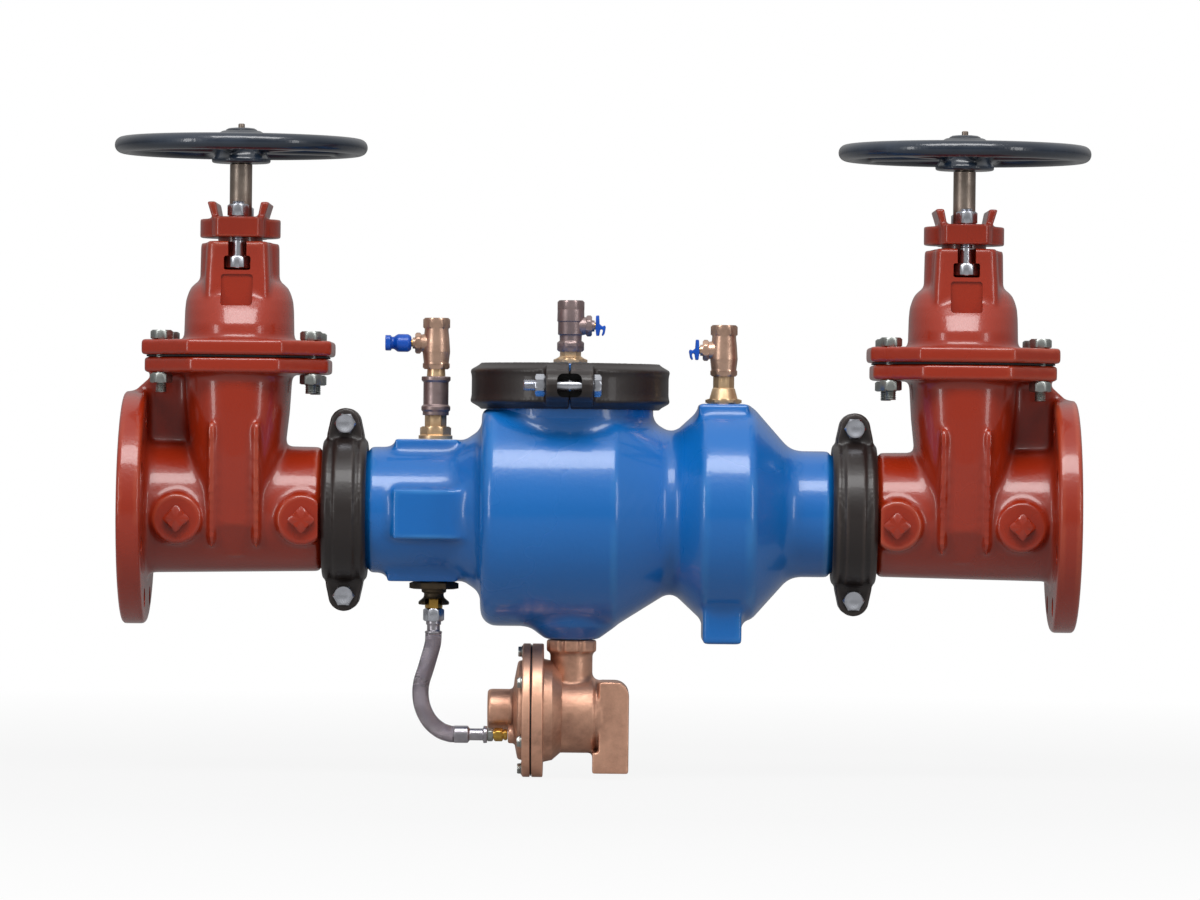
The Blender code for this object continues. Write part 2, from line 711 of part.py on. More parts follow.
def bonnet():
    low = BODY_TOP + 2 * FIT + GASKET_THICKNESS
    high = low + BONNET_PLATE_THICKNESS
    lid = plate(octagon(BONNET_PLATE_LENGTH, BONNET_PLATE_WIDTH), low, high)
    dome_shape = [
        (high - 4 * MM, 53, 77),
        (high + 14 * MM, 53, 74),
        (high + 32 * MM, 51, 64),
        (high + 48 * MM, 46.5, 51),
        (high + 62 * MM, 37, 38),
    ]
    dome = loft([oval(a * MM, b * MM, z, 2.3) for z, a, b in dome_shape])
    tower = loft(
        [
            oval(TOWER_FOOT_HALF, TOWER_FOOT_DEPTH, TOWER_FOOT, 8, MEDIUM_SIDES),
            oval(TOWER_TOP_HALF, TOWER_TOP_DEPTH, TOWER_TOP, 8, MEDIUM_SIDES),
        ]
    )
    barrel = rod(BARREL_RADIUS + MM, TOWER_FOOT, TOWER_TOP - 1.2 * MM, MEDIUM_SIDES, None, BARREL_RADIUS)
    joined(lid, dome, tower, barrel)
    core = [
        (low - 2 * MM, 44.5, 69),
        (high + 14 * MM, 43, 64),
        (CHEST_ROOF, 36, 40),
    ]
    cavity = loft([oval(a * MM, b * MM, z, 2.3) for z, a, b in core])
    stem_hole = rod(STEM_RADIUS + 1.2 * MM, CHEST_ROOF - 5 * MM, BOX_FLOOR + 5 * MM, MEDIUM_SIDES)
    box = rod(BOX_RADIUS, BOX_FLOOR, TOWER_TOP + 5 * MM, MEDIUM_SIDES)
    cut(lid, cavity, stem_hole, box)
    for side in (-1, 1):
        inner, outer = side * (GLAND_BOLT_Y - SLOT_HALF), side * (TOWER_FOOT_DEPTH + 12 * MM)
        lows, highs = min(inner, outer), max(inner, outer)
        slot = block((-SLOT_HALF, lows, POCKET_ROOF - MM), (SLOT_HALF, highs, TOWER_TOP + MM))
        inner = side * (GLAND_BOLT_Y - POCKET_HALF)
        lows, highs = min(inner, outer), max(inner, outer)
        pocket = block((-POCKET_HALF, lows, POCKET_FLOOR), (POCKET_HALF, highs, POCKET_ROOF))
        panel_face = side * (TOWER_TOP_DEPTH - PANEL_DEPTH)
        lows, highs = min(panel_face, outer), max(panel_face, outer)
        panel_foot = (-PANEL_HALF, lows, CHEST_ROOF + PANEL_RISE)
        panel = block(panel_foot, (PANEL_HALF, highs, POCKET_FLOOR + MM))
        cut(lid, slot, pocket, panel)
    flange_foot = BODY_TOP - BODY_PLATE_THICKNESS
    for x, y in bonnet_bolt_places():
        place = at(x, y)
        shank = rod(BONNET_BOLT_RADIUS, flange_foot - 19 * MM, high + 2 * MM, SMALL_SIDES, place)
        head = hexagon(BONNET_NUT_FLATS, high - MM, high + 9 * MM, place)
        nut_top = flange_foot - FIT
        nut = hexagon(BONNET_NUT_FLATS, nut_top - BONNET_NUT_HEIGHT, nut_top, place)
        joined(lid, joined(shank, head, nut))
    return lid


def wedge():
    """The gate at its closed height: a tapered disc under a hood that holds the stem nut."""
    gate = gate_shape(0.0)
    hood_half = WEDGE_FOOT_HALF
    hood = block((-hood_half, -HOOD_HALF_WIDTH, 20 * MM), (hood_half, HOOD_HALF_WIDTH, HOOD_TOP))
    joined(gate, hood)
    bore = rod(STEM_RADIUS + 2 * MM, -WEDGE_RADIUS - MM, HOOD_TOP + MM, MEDIUM_SIDES)
    half = STEM_NUT_SPAN / 2 + FIT
    level = STEM_NUT_LEVEL
    pocket = block((-0.05, -half, level - FIT), (0.05, half, level + STEM_NUT_HEIGHT + FIT))
    return cut(gate, bore, pocket)


def stem_nut():
    half = STEM_NUT_SPAN / 2
    low, high = STEM_NUT_LEVEL, STEM_NUT_LEVEL + STEM_NUT_HEIGHT
    nut = block((-15 * MM, -half, low), (15 * MM, half, high))
    return cut(nut, rod(STEM_RADIUS + STEM_RUN_CLEARANCE, low - MM, high + MM, MEDIUM_SIDES))


def stem():
    """Threaded foot, thrust collar, polished shank, and a reduced end for the handwheel."""
    collar_foot = BOX_FLOOR + FIT
    collar_top = collar_foot + COLLAR_HEIGHT
    shoulder = HUB_FOOT - FIT
    end_radius = HUB_BORE_RADIUS - 0.5 * MM
    profile = [
        (HUB_TOP + 7 * MM, 0),
        (HUB_TOP + 7 * MM, 3.2 * MM),
        (HUB_TOP + 2.8 * MM, 3.2 * MM),
        (HUB_TOP + 2.3 * MM, 13 * MM),
        (HUB_TOP + FIT, 15.5 * MM),
        (HUB_TOP + FIT, end_radius),
        (shoulder, end_radius),
        (shoulder, STEM_RADIUS),
        (collar_top, STEM_RADIUS),
        (collar_top, COLLAR_RADIUS),
        (collar_foot, COLLAR_RADIUS),
        (collar_foot, STEM_RADIUS),
        (STEM_FOOT + 2 * MM, STEM_RADIUS),
        (STEM_FOOT, STEM_RADIUS - 2 * MM),
        (STEM_FOOT, 0),
    ]
    return turned(profile, MEDIUM_SIDES)


def packing():
    foot = BOX_FLOOR + 2 * FIT + COLLAR_HEIGHT
    top = GLAND_FOOT - GLAND_NOSE - FIT
    inner, outer = STEM_RADIUS + STEM_RUN_CLEARANCE, BOX_RADIUS - 2 * FIT
    return turned([(top, inner), (top, outer), (foot, outer), (foot, inner)], MEDIUM_SIDES, ring=True)


def gland():
    top = GLAND_FOOT + GLAND_PLATE_HEIGHT
    bar = loft(
        [
            oval(GLAND_HALF_WIDTH, GLAND_HALF_DEPTH, GLAND_FOOT, 7, MEDIUM_SIDES),
            oval(GLAND_HALF_WIDTH, GLAND_HALF_DEPTH, top, 7, MEDIUM_SIDES),
        ]
    )
    disc = rod(GLAND_DISC_RADIUS, GLAND_FOOT + MM, top - 1.5 * MM, MEDIUM_SIDES)
    nose = rod(BOX_RADIUS - 2 * FIT, GLAND_FOOT - GLAND_NOSE, GLAND_FOOT + 2 * MM, MEDIUM_SIDES)
    joined(bar, disc, nose)
    for side in (-1, 1):
        section = [
            (side * (GLAND_HALF_WIDTH - GLAND_EAR_THICKNESS), top - 2 * MM),
            (side * GLAND_HALF_WIDTH, top - 2 * MM),
            (side * (GLAND_HALF_WIDTH + GLAND_EAR_FLARE), top + GLAND_EAR_HEIGHT),
            (side * (GLAND_HALF_WIDTH - GLAND_EAR_THICKNESS + 3 * MM), top + GLAND_EAR_HEIGHT),
        ]
        rings = [[(x, y, z) for x, z in section] for y in (-GLAND_EAR_DEPTH, GLAND_EAR_DEPTH)]
        joined(bar, loft(rings))
    cut(bar, rod(STEM_RADIUS + 1.2 * MM, GLAND_FOOT - 20 * MM, top + MM, MEDIUM_SIDES))
    for y in (-GLAND_BOLT_Y, GLAND_BOLT_Y):
        hole = GLAND_BOLT_RADIUS + BOLT_HOLE_CLEARANCE
        cut(bar, rod(hole, GLAND_FOOT - MM, top + MM, COARSE_SIDES, at(0, y)))
    return bar


def gland_bolt(y):
    """T-head bolt that stands in a slot of the bonnet, with its nut on the gland."""
    place = at(0, y)
    head_top = POCKET_ROOF - FIT
    nut_foot = GLAND_FOOT + GLAND_PLATE_HEIGHT + FIT
    nut_top = nut_foot + GLAND_NUT_HEIGHT
    bolt = rod(GLAND_BOLT_RADIUS, head_top - 2 * MM, nut_top + 4 * MM, SMALL_SIDES, place)
    head = hexagon(GLAND_HEAD_FLATS, head_top - GLAND_HEAD_HEIGHT, head_top, place)
    return joined(bolt, head, hexagon(GLAND_NUT_FLATS, nut_foot, nut_top, place))


def handwheel():
    reach = WHEEL_RADIUS - RIM_RADIUS
    section = arc((WHEEL_LEVEL, reach), RIM_RADIUS, 90, -270, 8)[:-1]
    rim = turned(section, RIM_SIDES, ring=True)
    hub_profile = [
        (HUB_TOP, 0),
        (HUB_TOP, 17 * MM),
        (HUB_TOP - 3 * MM, HUB_RADIUS),
        (HUB_FOOT, HUB_RADIUS),
        (HUB_FOOT, 0),
    ]
    hub = turned(hub_profile, MEDIUM_SIDES)
    for i in range(SPOKES):
        lie = Matrix.Rotation(math.tau * (i + 0.5) / SPOKES, 4, "Z") @ at(z=WHEEL_LEVEL) @ X_AXIS
        flatten = Matrix.Diagonal((SPOKE_HALF_HEIGHT, SPOKE_HALF_WIDTH, 1, 1))
        spoke = rod(1.25, 15 * MM, reach, SMALL_SIDES, lie @ flatten, 0.95)
        joined(hub, spoke)
    joined(hub, rim)
    return cut(hub, rod(HUB_BORE_RADIUS, HUB_FOOT - MM, HUB_TOP + MM, MEDIUM_SIDES))


def gate_valve(name, place):
    """Every piece of one valve, in assembly order from the body up."""
    hang = hanger(name, place)
    pieces = {
        "valve_body": (valve_body(), red),
        "bonnet_gasket": (bonnet_gasket(), rubber),
        "bonnet": (bonnet(), red),
        "packing": (packing(), rubber),
        "gland": (gland(), red),
        "gland_bolt_front": (gland_bolt(-GLAND_BOLT_Y), zinc),
        "gland_bolt_rear": (gland_bolt(GLAND_BOLT_Y), zinc),
        "stem": (stem(), stem_bronze),
        "handwheel": (handwheel(), wheel_black),
    }
    made = [node(obj, f"{name}_{label}", skin, hang) for label, (obj, skin) in pieces.items()]
    lifted = (0, 0, WEDGE_LIFT)  # open: the gate stands clear above the bore
    for label, obj, skin in (("wedge", wedge(), coated_iron), ("stem_nut", stem_nut(), stem_bronze)):
        obj.data.transform(at(*lifted))
        made.append(node(obj, f"{name}_{label}", skin, hang, lifted))
    return made


def twin_valve(first, name, twin_name, place):
    """The other valve: the same pieces, turned to face the other way."""
    hang = hanger(twin_name, place)
    for piece in first:
        copied(piece, piece.name.replace(name, twin_name), hang)


# Grooved couplings: origin at the joint, pipe along Z, bolts along Y


def housing_profile(lip_radius, half_width, height):
    """A coupling housing's section: keys for both grooves and a channel for the gasket."""
    key_bottom = lip_radius - GROOVE_DEPTH + HOUSING_KEY_CLEARANCE
    key_inner = PIPE_END_GAP / 2 + GROOVE_SETBACK + HOUSING_KEY_CLEARANCE
    crest = lip_radius + height
    channel = lip_radius + GASKET_HEIGHT + 2 * FIT
    upper = [
        (key_inner, channel),
        (key_inner, key_bottom),
        (half_width, key_bottom),
        (half_width, crest - 7 * MM),
        (half_width - 8 * MM, crest),
    ]
    return upper + [(-height_on_axis, radius) for height_on_axis, radius in reversed(upper)]


def housing_half(lip_radius, half_width, height, bolt_circle, lug_inner, lug_outer):
    """The half on the -Y side, with a bolt lug at each end between two distances from the split."""
    half = turned(housing_profile(lip_radius, half_width, height), LARGE_SIDES, ring=True)
    keep = SPLIT_GAP / 2
    channel = lip_radius + GASKET_HEIGHT + 2 * FIT
    upright = Matrix.Rotation(math.pi / 2, 4, "X")
    cut(half, block((-0.2, -keep, -0.1), (0.2, 0.2, 0.1)))
    for side in (-1, 1):
        tip = arc((side * bolt_circle, 0), LUG_RADIUS, 90, 90 - side * 180, 5)
        root = side * (math.sqrt(channel**2 - lug_inner**2) + 2 * MM)
        outline = [(root, LUG_FOOT_HALF)] + tip + [(root, -LUG_FOOT_HALF)]
        lug = plate(outline, lug_inner, lug_outer, upright)
        joined(half, lug)
        hole = COUPLING_BOLT_RADIUS + BOLT_HOLE_CLEARANCE
        cut(half, rod(hole, 0, lug_outer + 5 * MM, COARSE_SIDES, at(side * bolt_circle) @ upright))
    return half


def coupling_gasket(lip_radius):
    """A rubber ring over both pipe ends, with a groove inside that the water fills."""
    inner = lip_radius + FIT
    outer = lip_radius + GASKET_HEIGHT
    side = PIPE_END_GAP / 2 + GROOVE_SETBACK
    profile = [
        (side, inner),
        (side - MM, outer),
        (MM - side, outer),
        (-side, inner),
        (0, outer - 4 * MM),
    ]
    return turned(profile, LARGE_SIDES, ring=True)


def coupling_bolt(bolt_circle, lug_outer):
    """A hexagon-head bolt along Y, its head on the -Y side, with its nut."""
    face = lug_outer + FIT
    lie = at(bolt_circle) @ Matrix.Rotation(math.pi / 2, 4, "X")
    length = face + COUPLING_NUT_HEIGHT
    bolt = rod(COUPLING_BOLT_RADIUS, -length - 9 * MM, face + 2 * MM, SMALL_SIDES, lie)
    head = hexagon(COUPLING_BOLT_FLATS, face, face + 7.5 * MM, lie)
    return joined(bolt, head, hexagon(COUPLING_BOLT_FLATS, -length, -face, lie))


def line_coupling(name, x):
    """The coupling at a joint of the line: front and rear halves, bolts above and below."""
    hang = hanger(f"{name}_coupling", at(x) @ X_AXIS)
    bolt_circle = SPIGOT_RADIUS + LUG_REACH
    lug_inner, lug_outer = SPLIT_GAP / 2, SPLIT_GAP / 2 + LUG_THICKNESS
    size = (SPIGOT_RADIUS, HOUSING_HALF_WIDTH, HOUSING_HEIGHT, bolt_circle)
    half = housing_half(*size, lug_inner, lug_outer)
    front = node(half, f"{name}_coupling_front_half", black, hang)
    rear = copied(front, f"{name}_coupling_rear_half", hang)
    rear.rotation_euler = (0, 0, math.pi)
    node(coupling_gasket(SPIGOT_RADIUS), f"{name}_coupling_gasket", rubber, hang)
    for label, side in (("upper", -1), ("lower", 1)):
        bolt = coupling_bolt(side * bolt_circle, lug_outer)
        node(bolt, f"{name}_coupling_{label}_bolt", zinc, hang)


def access_cover():
    """A dished cover with a grooved rim, and a boss for the test cock between the checks."""
    foot = PORT_JOINT + PIPE_END_GAP / 2
    groove = PORT_JOINT + PIPE_END_GAP / 2 + GROOVE_SETBACK
    neck = PORT_LIP_RADIUS - GROOVE_DEPTH
    top = PORT_JOINT + CLAMP_HALF_WIDTH - MM
    inner = PORT_LIP_RADIUS - PORT_WALL - 3 * MM
    profile = [
        (top, 0),
        (top, 17 * MM),
        (top - 3 * MM, 19 * MM),
        (top - 3 * MM, 62 * MM),
        (top - MM, neck),
        (groove, neck),
        (groove, PORT_LIP_RADIUS),
        (foot, PORT_LIP_RADIUS),
        (foot, inner),
        (top - 12 * MM, inner),
        (top - 12 * MM, 0),
    ]
    cover = turned(profile, LARGE_SIDES)
    return cut(cover, rod(TAP_BORE_RADIUS, foot - MM, top + MM, COARSE_SIDES))


def cover_clamp(hang):
    """The clamp round the access port: left and right halves, bolts front and rear."""
    bolt_circle = PORT_LIP_RADIUS + LUG_REACH
    lug_outer = CLAMP_LUG_GAP + CLAMP_LUG_THICKNESS
    size = (PORT_LIP_RADIUS, CLAMP_HALF_WIDTH, CLAMP_HEIGHT, bolt_circle)
    left = housing_half(*size, CLAMP_LUG_GAP, lug_outer)
    left.data.transform(at(z=PORT_JOINT) @ Matrix.Rotation(-math.pi / 2, 4, "Z"))
    left = node(left, "cover_clamp_left_half", black, hang)
    copied(left, "cover_clamp_right_half", hang).rotation_euler = (0, 0, math.pi)
    gasket = coupling_gasket(PORT_LIP_RADIUS)
    gasket.data.transform(at(z=PORT_JOINT))
    node(gasket, "cover_gasket", rubber, hang)
    for label, side in (("front", 1), ("rear", -1)):
        bolt = coupling_bolt(side * bolt_circle, lug_outer)
        turn = Matrix.Rotation(math.pi / 2, 4, "Z") @ Matrix.Rotation(math.pi, 4, "Z")
        bolt.data.transform(at(z=PORT_JOINT) @ turn)
        node(bolt, f"cover_clamp_{label}_bolt", zinc, hang)


# Main body: origin at its inlet end, on the pipe's axis


def body_profile():
    """(x, radius) pairs of the casting's outer skin, from its outlet back to its inlet."""
    end = BODY_LENGTH - PIPE_END_GAP / 2
    neck_end = BODY_LENGTH - HOUSING_HALF_WIDTH - NECK_CLEARANCE
    points = [(end, 0.0)] + grooved_end(end, BODY_NECK_RADIUS, neck_end)[1:]
    points += [
        (OUTLET_NECK_START, BODY_NECK_RADIUS),
        (BULB_END + 3 * MM, BULB_RADIUS - 3 * MM),
        (BULB_END - 3 * MM, BULB_RADIUS),
        (BULB_START + 2 * MM, BULB_RADIUS),
        (BULB_START - 4 * MM, BULB_RADIUS - 4 * MM),
        (WAIST_END, WAIST_RADIUS),
        (WAIST_START, WAIST_RADIUS),
        (CHAMBER_END + 3 * MM, CHAMBER_RADIUS - 2 * MM),
        (CHAMBER_END - 4 * MM, CHAMBER_RADIUS),
    ]
    corner = (CHAMBER_START + CHAMBER_CORNER, CHAMBER_RADIUS - CHAMBER_CORNER)
    points += arc(corner, CHAMBER_CORNER, 90, 180, 3)
    points += [
        (CHAMBER_START, BODY_NECK_RADIUS + 23 * MM),
        (FLARE_START + 9 * MM, BODY_NECK_RADIUS + 7 * MM),
        (FLARE_START - 5 * MM, BODY_NECK_RADIUS),
    ]
    mirrored = grooved_end(end, BODY_NECK_RADIUS, neck_end)[1:]
    points += [(BODY_LENGTH - x, radius) for x, radius in reversed(mirrored)]
    return points + [(PIPE_END_GAP / 2, 0.0)]


def core_profile():
    """(x, radius) pairs of the water way, from past the outlet to before the inlet."""
    wall = BODY_WALL
    return [
        (BODY_LENGTH + 10 * MM, 0.0),
        (BODY_LENGTH + 10 * MM, BORE_RADIUS),
        (OUTLET_NECK_START - 4 * MM, BORE_RADIUS),
        (BULB_END, BULB_RADIUS - wall),
        (BULB_START + 4 * MM, BULB_RADIUS - wall),
        (WAIST_END + 3 * MM, WAIST_RADIUS - wall),
        (WAIST_START - 6 * MM, WAIST_RADIUS - wall),
        (CHAMBER_END, CHAMBER_RADIUS - wall),
        (CHAMBER_START + wall + 20 * MM, CHAMBER_RADIUS - wall),
        (CHAMBER_START + wall, CHAMBER_RADIUS - wall - 24 * MM),
        (CHAMBER_START + wall, BORE_RADIUS),
        (-10 * MM, BORE_RADIUS),
        (-10 * MM, 0.0),
    ]


def main_body():
    body = turned(body_profile(), LARGE_SIDES, X_AXIS)
    lip_foot = PORT_JOINT - PIPE_END_GAP / 2 - GROOVE_SETBACK
    neck = PORT_LIP_RADIUS - GROOVE_DEPTH
    port_top = PORT_JOINT - PIPE_END_GAP / 2
    port_profile = [(port_top, 0), (port_top, PORT_LIP_RADIUS), (lip_foot, PORT_LIP_RADIUS)]
    port_profile += [(lip_foot, neck), (30 * MM, neck), (30 * MM, 0)]
    shoulder = PORT_JOINT - CLAMP_HALF_WIDTH - CLAMP_CLEARANCE
    seat_radius = PORT_LIP_RADIUS + CLAMP_HEIGHT + 4 * MM
    cut(body, rod(seat_radius, shoulder, 0.2, LARGE_SIDES, at(PORT_X)))
    joined(body, turned(port_profile, LARGE_SIDES, at(PORT_X)))
    boss_foot = -RELIEF_PORT_END
    boss_root = RELIEF_PORT_ROOT - CHAMBER_RADIUS
    boss = rod(RELIEF_PORT_RADIUS, boss_foot, boss_root, LARGE_SIDES, at(RELIEF_PORT_X), 46 * MM)
    pad = (TAP_PAD_START, TAP_PAD_END)
    top_pad = block((pad[0], -TAP_PAD_HALF, 0), (pad[1], TAP_PAD_HALF, TAP_PAD_FACE))
    low_pad = block((pad[0] - 6 * MM, -TAP_PAD_HALF, -TAP_PAD_FACE), (pad[1], TAP_PAD_HALF, 0))
    front = (pad[0], -NAMEPLATE_PAD_FACE, -28 * MM)
    nameplate_pad = block(front, (NAMEPLATE_PAD_END, NAMEPLATE_PAD_FACE, 21 * MM))
    left, right = OUTLET_TAP_X - BULB_PAD_HALF_LENGTH, OUTLET_TAP_X + BULB_PAD_HALF_LENGTH
    wide = BULB_PAD_HALF_WIDTH
    bulb_pad = block((left, -wide, 60 * MM), (right, wide, BULB_PAD_FACE))
    low = (OUTLET_TAP_X - FOOT_HALF_LENGTH, -FOOT_HALF_WIDTH, -FOOT_FACE)
    foot = block(low, (OUTLET_TAP_X + FOOT_HALF_LENGTH, FOOT_HALF_WIDTH, -60 * MM))
    joined(body, boss, top_pad, low_pad, nameplate_pad, bulb_pad, foot)
    core = turned(core_profile(), LARGE_SIDES, X_AXIS)
    port_core = rod(neck - PORT_WALL, 20 * MM, port_top + 5 * MM, LARGE_SIDES, at(PORT_X))
    relief_core = rod(RELIEF_PORT_BORE, boss_foot - MM, -60 * MM, COARSE_SIDES, at(RELIEF_PORT_X))
    tap = rod(TAP_BORE_RADIUS, -TAP_PAD_FACE - MM, TAP_PAD_FACE + MM, COARSE_SIDES, at(INLET_TAP_X))
    outlet_tap = rod(TAP_BORE_RADIUS, 60 * MM, BULB_PAD_FACE + MM, COARSE_SIDES, at(OUTLET_TAP_X))
    return cut(body, core, port_core, relief_core, tap, outlet_tap)


# Check valves: origin on the pipe's axis at the seat's upstream face


def check_frame(seat_radius):
    """Seat ring, three legs and the hub that guides the poppet's stem."""
    seat = [(SEAT_THICKNESS, SEAT_BORE_RADIUS), (SEAT_THICKNESS, seat_radius)]
    seat += [(0, seat_radius), (0, SEAT_BORE_RADIUS + 2 * MM)]
    frame = turned(seat, LARGE_SIDES, X_AXIS, ring=True)
    hub_end = CAGE_HUB_START + CAGE_HUB_THICKNESS
    hub = rod(CAGE_HUB_RADIUS, CAGE_HUB_START, hub_end, MEDIUM_SIDES, X_AXIS)
    for i in range(CAGE_LEGS):
        turn = Matrix.Rotation(math.tau * (i + 0.5) / CAGE_LEGS, 4, "X")
        half = CAGE_LEG_WIDTH / 2
        foot, elbow = SEAT_THICKNESS - 2 * MM, CAGE_RADIUS + half
        bent = [(foot, elbow), (hub_end, elbow), (hub_end, 8 * MM), (CAGE_HUB_START, 8 * MM)]
        bent += [(CAGE_HUB_START, elbow - CAGE_LEG_WIDTH), (foot, elbow - CAGE_LEG_WIDTH)]
        joined(hub, plate(bent, -half, half, turn))
    joined(frame, hub)
    bore = rod(POPPET_STEM_RADIUS + 0.5 * MM, CAGE_HUB_START - MM, hub_end + MM, MEDIUM_SIDES, X_AXIS)
    return cut(frame, bore)


def poppet():
    """Disc with a nose that enters the seat, on a stem along the flow."""
    face = SEAT_THICKNESS + FIT
    profile = [
        (POPPET_STEM_END, 0),
        (POPPET_STEM_END, POPPET_STEM_RADIUS),
        (face + POPPET_THICKNESS + 4 * MM, POPPET_STEM_RADIUS),
        (face + POPPET_THICKNESS, 12 * MM),
        (face + POPPET_THICKNESS, POPPET_RADIUS - 3 * MM),
        (face + POPPET_THICKNESS - 3 * MM, POPPET_RADIUS),
        (face, POPPET_RADIUS),
        (face, SEAT_BORE_RADIUS - 2 * MM),
        (face - 6 * MM, SEAT_BORE_RADIUS - 8 * MM),
        (face - 6 * MM, 0),
    ]
    return turned(profile, LARGE_SIDES, X_AXIS)


def spring(radius, wire_radius, turns, start, end):
    """A coil along X, its ends a hair clear of what they press on."""
    low, high = start + wire_radius + FIT, end - wire_radius - FIT
    per_turn = 7
    points = []
    for i in range(turns * per_turn + 1):
        angle = math.tau * i / per_turn
        x = low + (high - low) * i / (turns * per_turn)
        points.append((x, radius * math.cos(angle), radius * math.sin(angle)))
    return wire(points, wire_radius, 0)


def check_valve(name, hang, x, seat_radius):
    origin = (x, 0, 0)
    back = SEAT_THICKNESS + FIT + POPPET_THICKNESS
    coil = spring(SPRING_RADIUS, SPRING_WIRE_RADIUS, SPRING_TURNS, back, CAGE_HUB_START)
    pieces = (
        ("frame", check_frame(seat_radius), bronze),
        ("poppet", poppet(), bronze),
        ("spring", coil, zinc),
    )
    for label, obj, skin in pieces:
        obj.data.transform(at(x))
        node(obj, f"{name}_{label}", skin, hang, origin)


# Relief valve: origin on its own axis, at the joint between body and cover


def relief_body():
    start, end = RELIEF_BARREL_START, RELIEF_BARREL_END
    gap = DIAPHRAGM_THICKNESS / 2 + FIT
    flange_end = gap + RELIEF_FLANGE_THICKNESS
    profile = [
        (start, 0),
        (start, RELIEF_BARREL_RADIUS),
        (start - 6 * MM, RELIEF_WAIST_RADIUS),
        (flange_end, RELIEF_SHOULDER_RADIUS),
        (flange_end, RELIEF_FLANGE_RADIUS),
        (gap, RELIEF_FLANGE_RADIUS),
        (gap, 0),
    ]
    body = turned(profile, LARGE_SIDES, X_AXIS)
    drop = at(z=-RELIEF_BARREL_DROP)
    barrel = rod(RELIEF_BARREL_RADIUS, gap + 5 * MM, end + 3 * MM, LARGE_SIDES, drop @ X_AXIS)
    collar_top = RELIEF_DROP - FIT
    collar_foot = collar_top - RELIEF_COLLAR_HEIGHT
    radius = RELIEF_COLLAR_FLATS / 2 / math.cos(math.pi / 8)
    upright = at(RELIEF_NECK_X) @ Matrix.Rotation(math.pi / 8, 4, "Z")
    collar = rod(radius, collar_foot, collar_top, 8, upright)
    neck = rod(RELIEF_NECK_RADIUS + 2 * MM, 10 * MM, collar_foot + 2 * MM, MEDIUM_SIDES, at(RELIEF_NECK_X))
    top, foot = VENT_RISE, -VENT_DROP
    round_top = arc((VENT_END - VENT_CORNER, top - VENT_CORNER), VENT_CORNER, 90, 0, 4)
    hood = [(VENT_START, top)] + round_top + [(VENT_END, foot), (VENT_START, foot)]
    upright = Matrix.Rotation(math.pi / 2, 4, "X")
    vent = plate(hood, -VENT_HALF_WIDTH, VENT_HALF_WIDTH, upright)
    joined(body, barrel, collar, neck, vent)
    wall = VENT_WALL
    inner_arc = arc((VENT_END - VENT_CORNER, top - VENT_CORNER), VENT_CORNER - wall, 90, 0, 4)
    throat = [(end, top - wall)] + inner_arc
    throat += [(VENT_END - wall, foot - 5 * MM), (VENT_START + wall, foot - 5 * MM)]
    throat += [(VENT_START + wall, foot + 14 * MM), (end, foot + 22 * MM)]
    inside = VENT_HALF_WIDTH - wall
    dish = rod(RELIEF_DISH_RADIUS, gap - MM, gap + RELIEF_DISH_DEPTH, MEDIUM_SIDES, X_AXIS)
    seat_bore = rod(RELIEF_SEAT_BORE, RELIEF_SEAT_X - MM, end + 5 * MM, MEDIUM_SIDES, X_AXIS)
    chamber = rod(RELIEF_CHAMBER_RADIUS, RELIEF_WEB_END, RELIEF_SEAT_X, MEDIUM_SIDES, X_AXIS)
    web_bore = rod(RELIEF_WEB_BORE, gap, RELIEF_WEB_END + MM, COARSE_SIDES, X_AXIS)
    spring_bore = rod(RELIEF_CHAMBER_RADIUS - 8 * MM, gap, RELIEF_WEB_START, MEDIUM_SIDES, X_AXIS)
    neck_bore = rod(RELIEF_NECK_BORE, 24 * MM, collar_top + MM, COARSE_SIDES, at(RELIEF_NECK_X))
    cut(body, plate(throat, -inside, inside, upright))
    return cut(body, dish, seat_bore, chamber, web_bore, spring_bore, neck_bore)


def relief_cover():
    """Cover flange, spring step and guide hub, with the heads of its bolts."""
    gap = DIAPHRAGM_THICKNESS / 2 + FIT
    step = -gap - RELIEF_COVER_FLANGE
    profile = [
        (-gap, 0),
        (-gap, RELIEF_FLANGE_RADIUS),
        (step, RELIEF_FLANGE_RADIUS),
        (step, RELIEF_STEP_RADIUS + MM),
        (-RELIEF_STEP_END, RELIEF_STEP_RADIUS - 2 * MM),
        (-RELIEF_STEP_END, RELIEF_HUB_RADIUS),
        (-RELIEF_HUB_END + 2 * MM, RELIEF_HUB_RADIUS),
        (-RELIEF_HUB_END, RELIEF_HUB_RADIUS - 2 * MM),
        (-RELIEF_HUB_END, 0),
    ]
    cover = turned(profile, LARGE_SIDES, X_AXIS)
    tap_place = at(0, HOSE_ENTRY_Y, -HOSE_ENTRY_DROP) @ X_AXIS
    boss = rod(8.5 * MM, -RELIEF_STEP_END - 6.5 * MM, -RELIEF_STEP_END + 3 * MM, COARSE_SIDES, tap_place)
    joined(cover, boss)
    for i in range(RELIEF_BOLTS):
        turn = Matrix.Rotation(math.tau * (i + 0.5) / RELIEF_BOLTS, 4, "X")
        place = turn @ at(0, RELIEF_BOLT_CIRCLE, 0) @ X_AXIS
        joined(cover, hexagon(RELIEF_BOLT_FLATS, step - RELIEF_BOLT_HEAD, step + MM, place))
    chamber = rod(RELIEF_DISH_RADIUS, -12 * MM, 0, MEDIUM_SIDES, X_AXIS)
    guide = rod(PLUNGER_STEM_RADIUS + 0.6 * MM, -38 * MM, -11 * MM, COARSE_SIDES, X_AXIS)
    return cut(cover, chamber, guide)


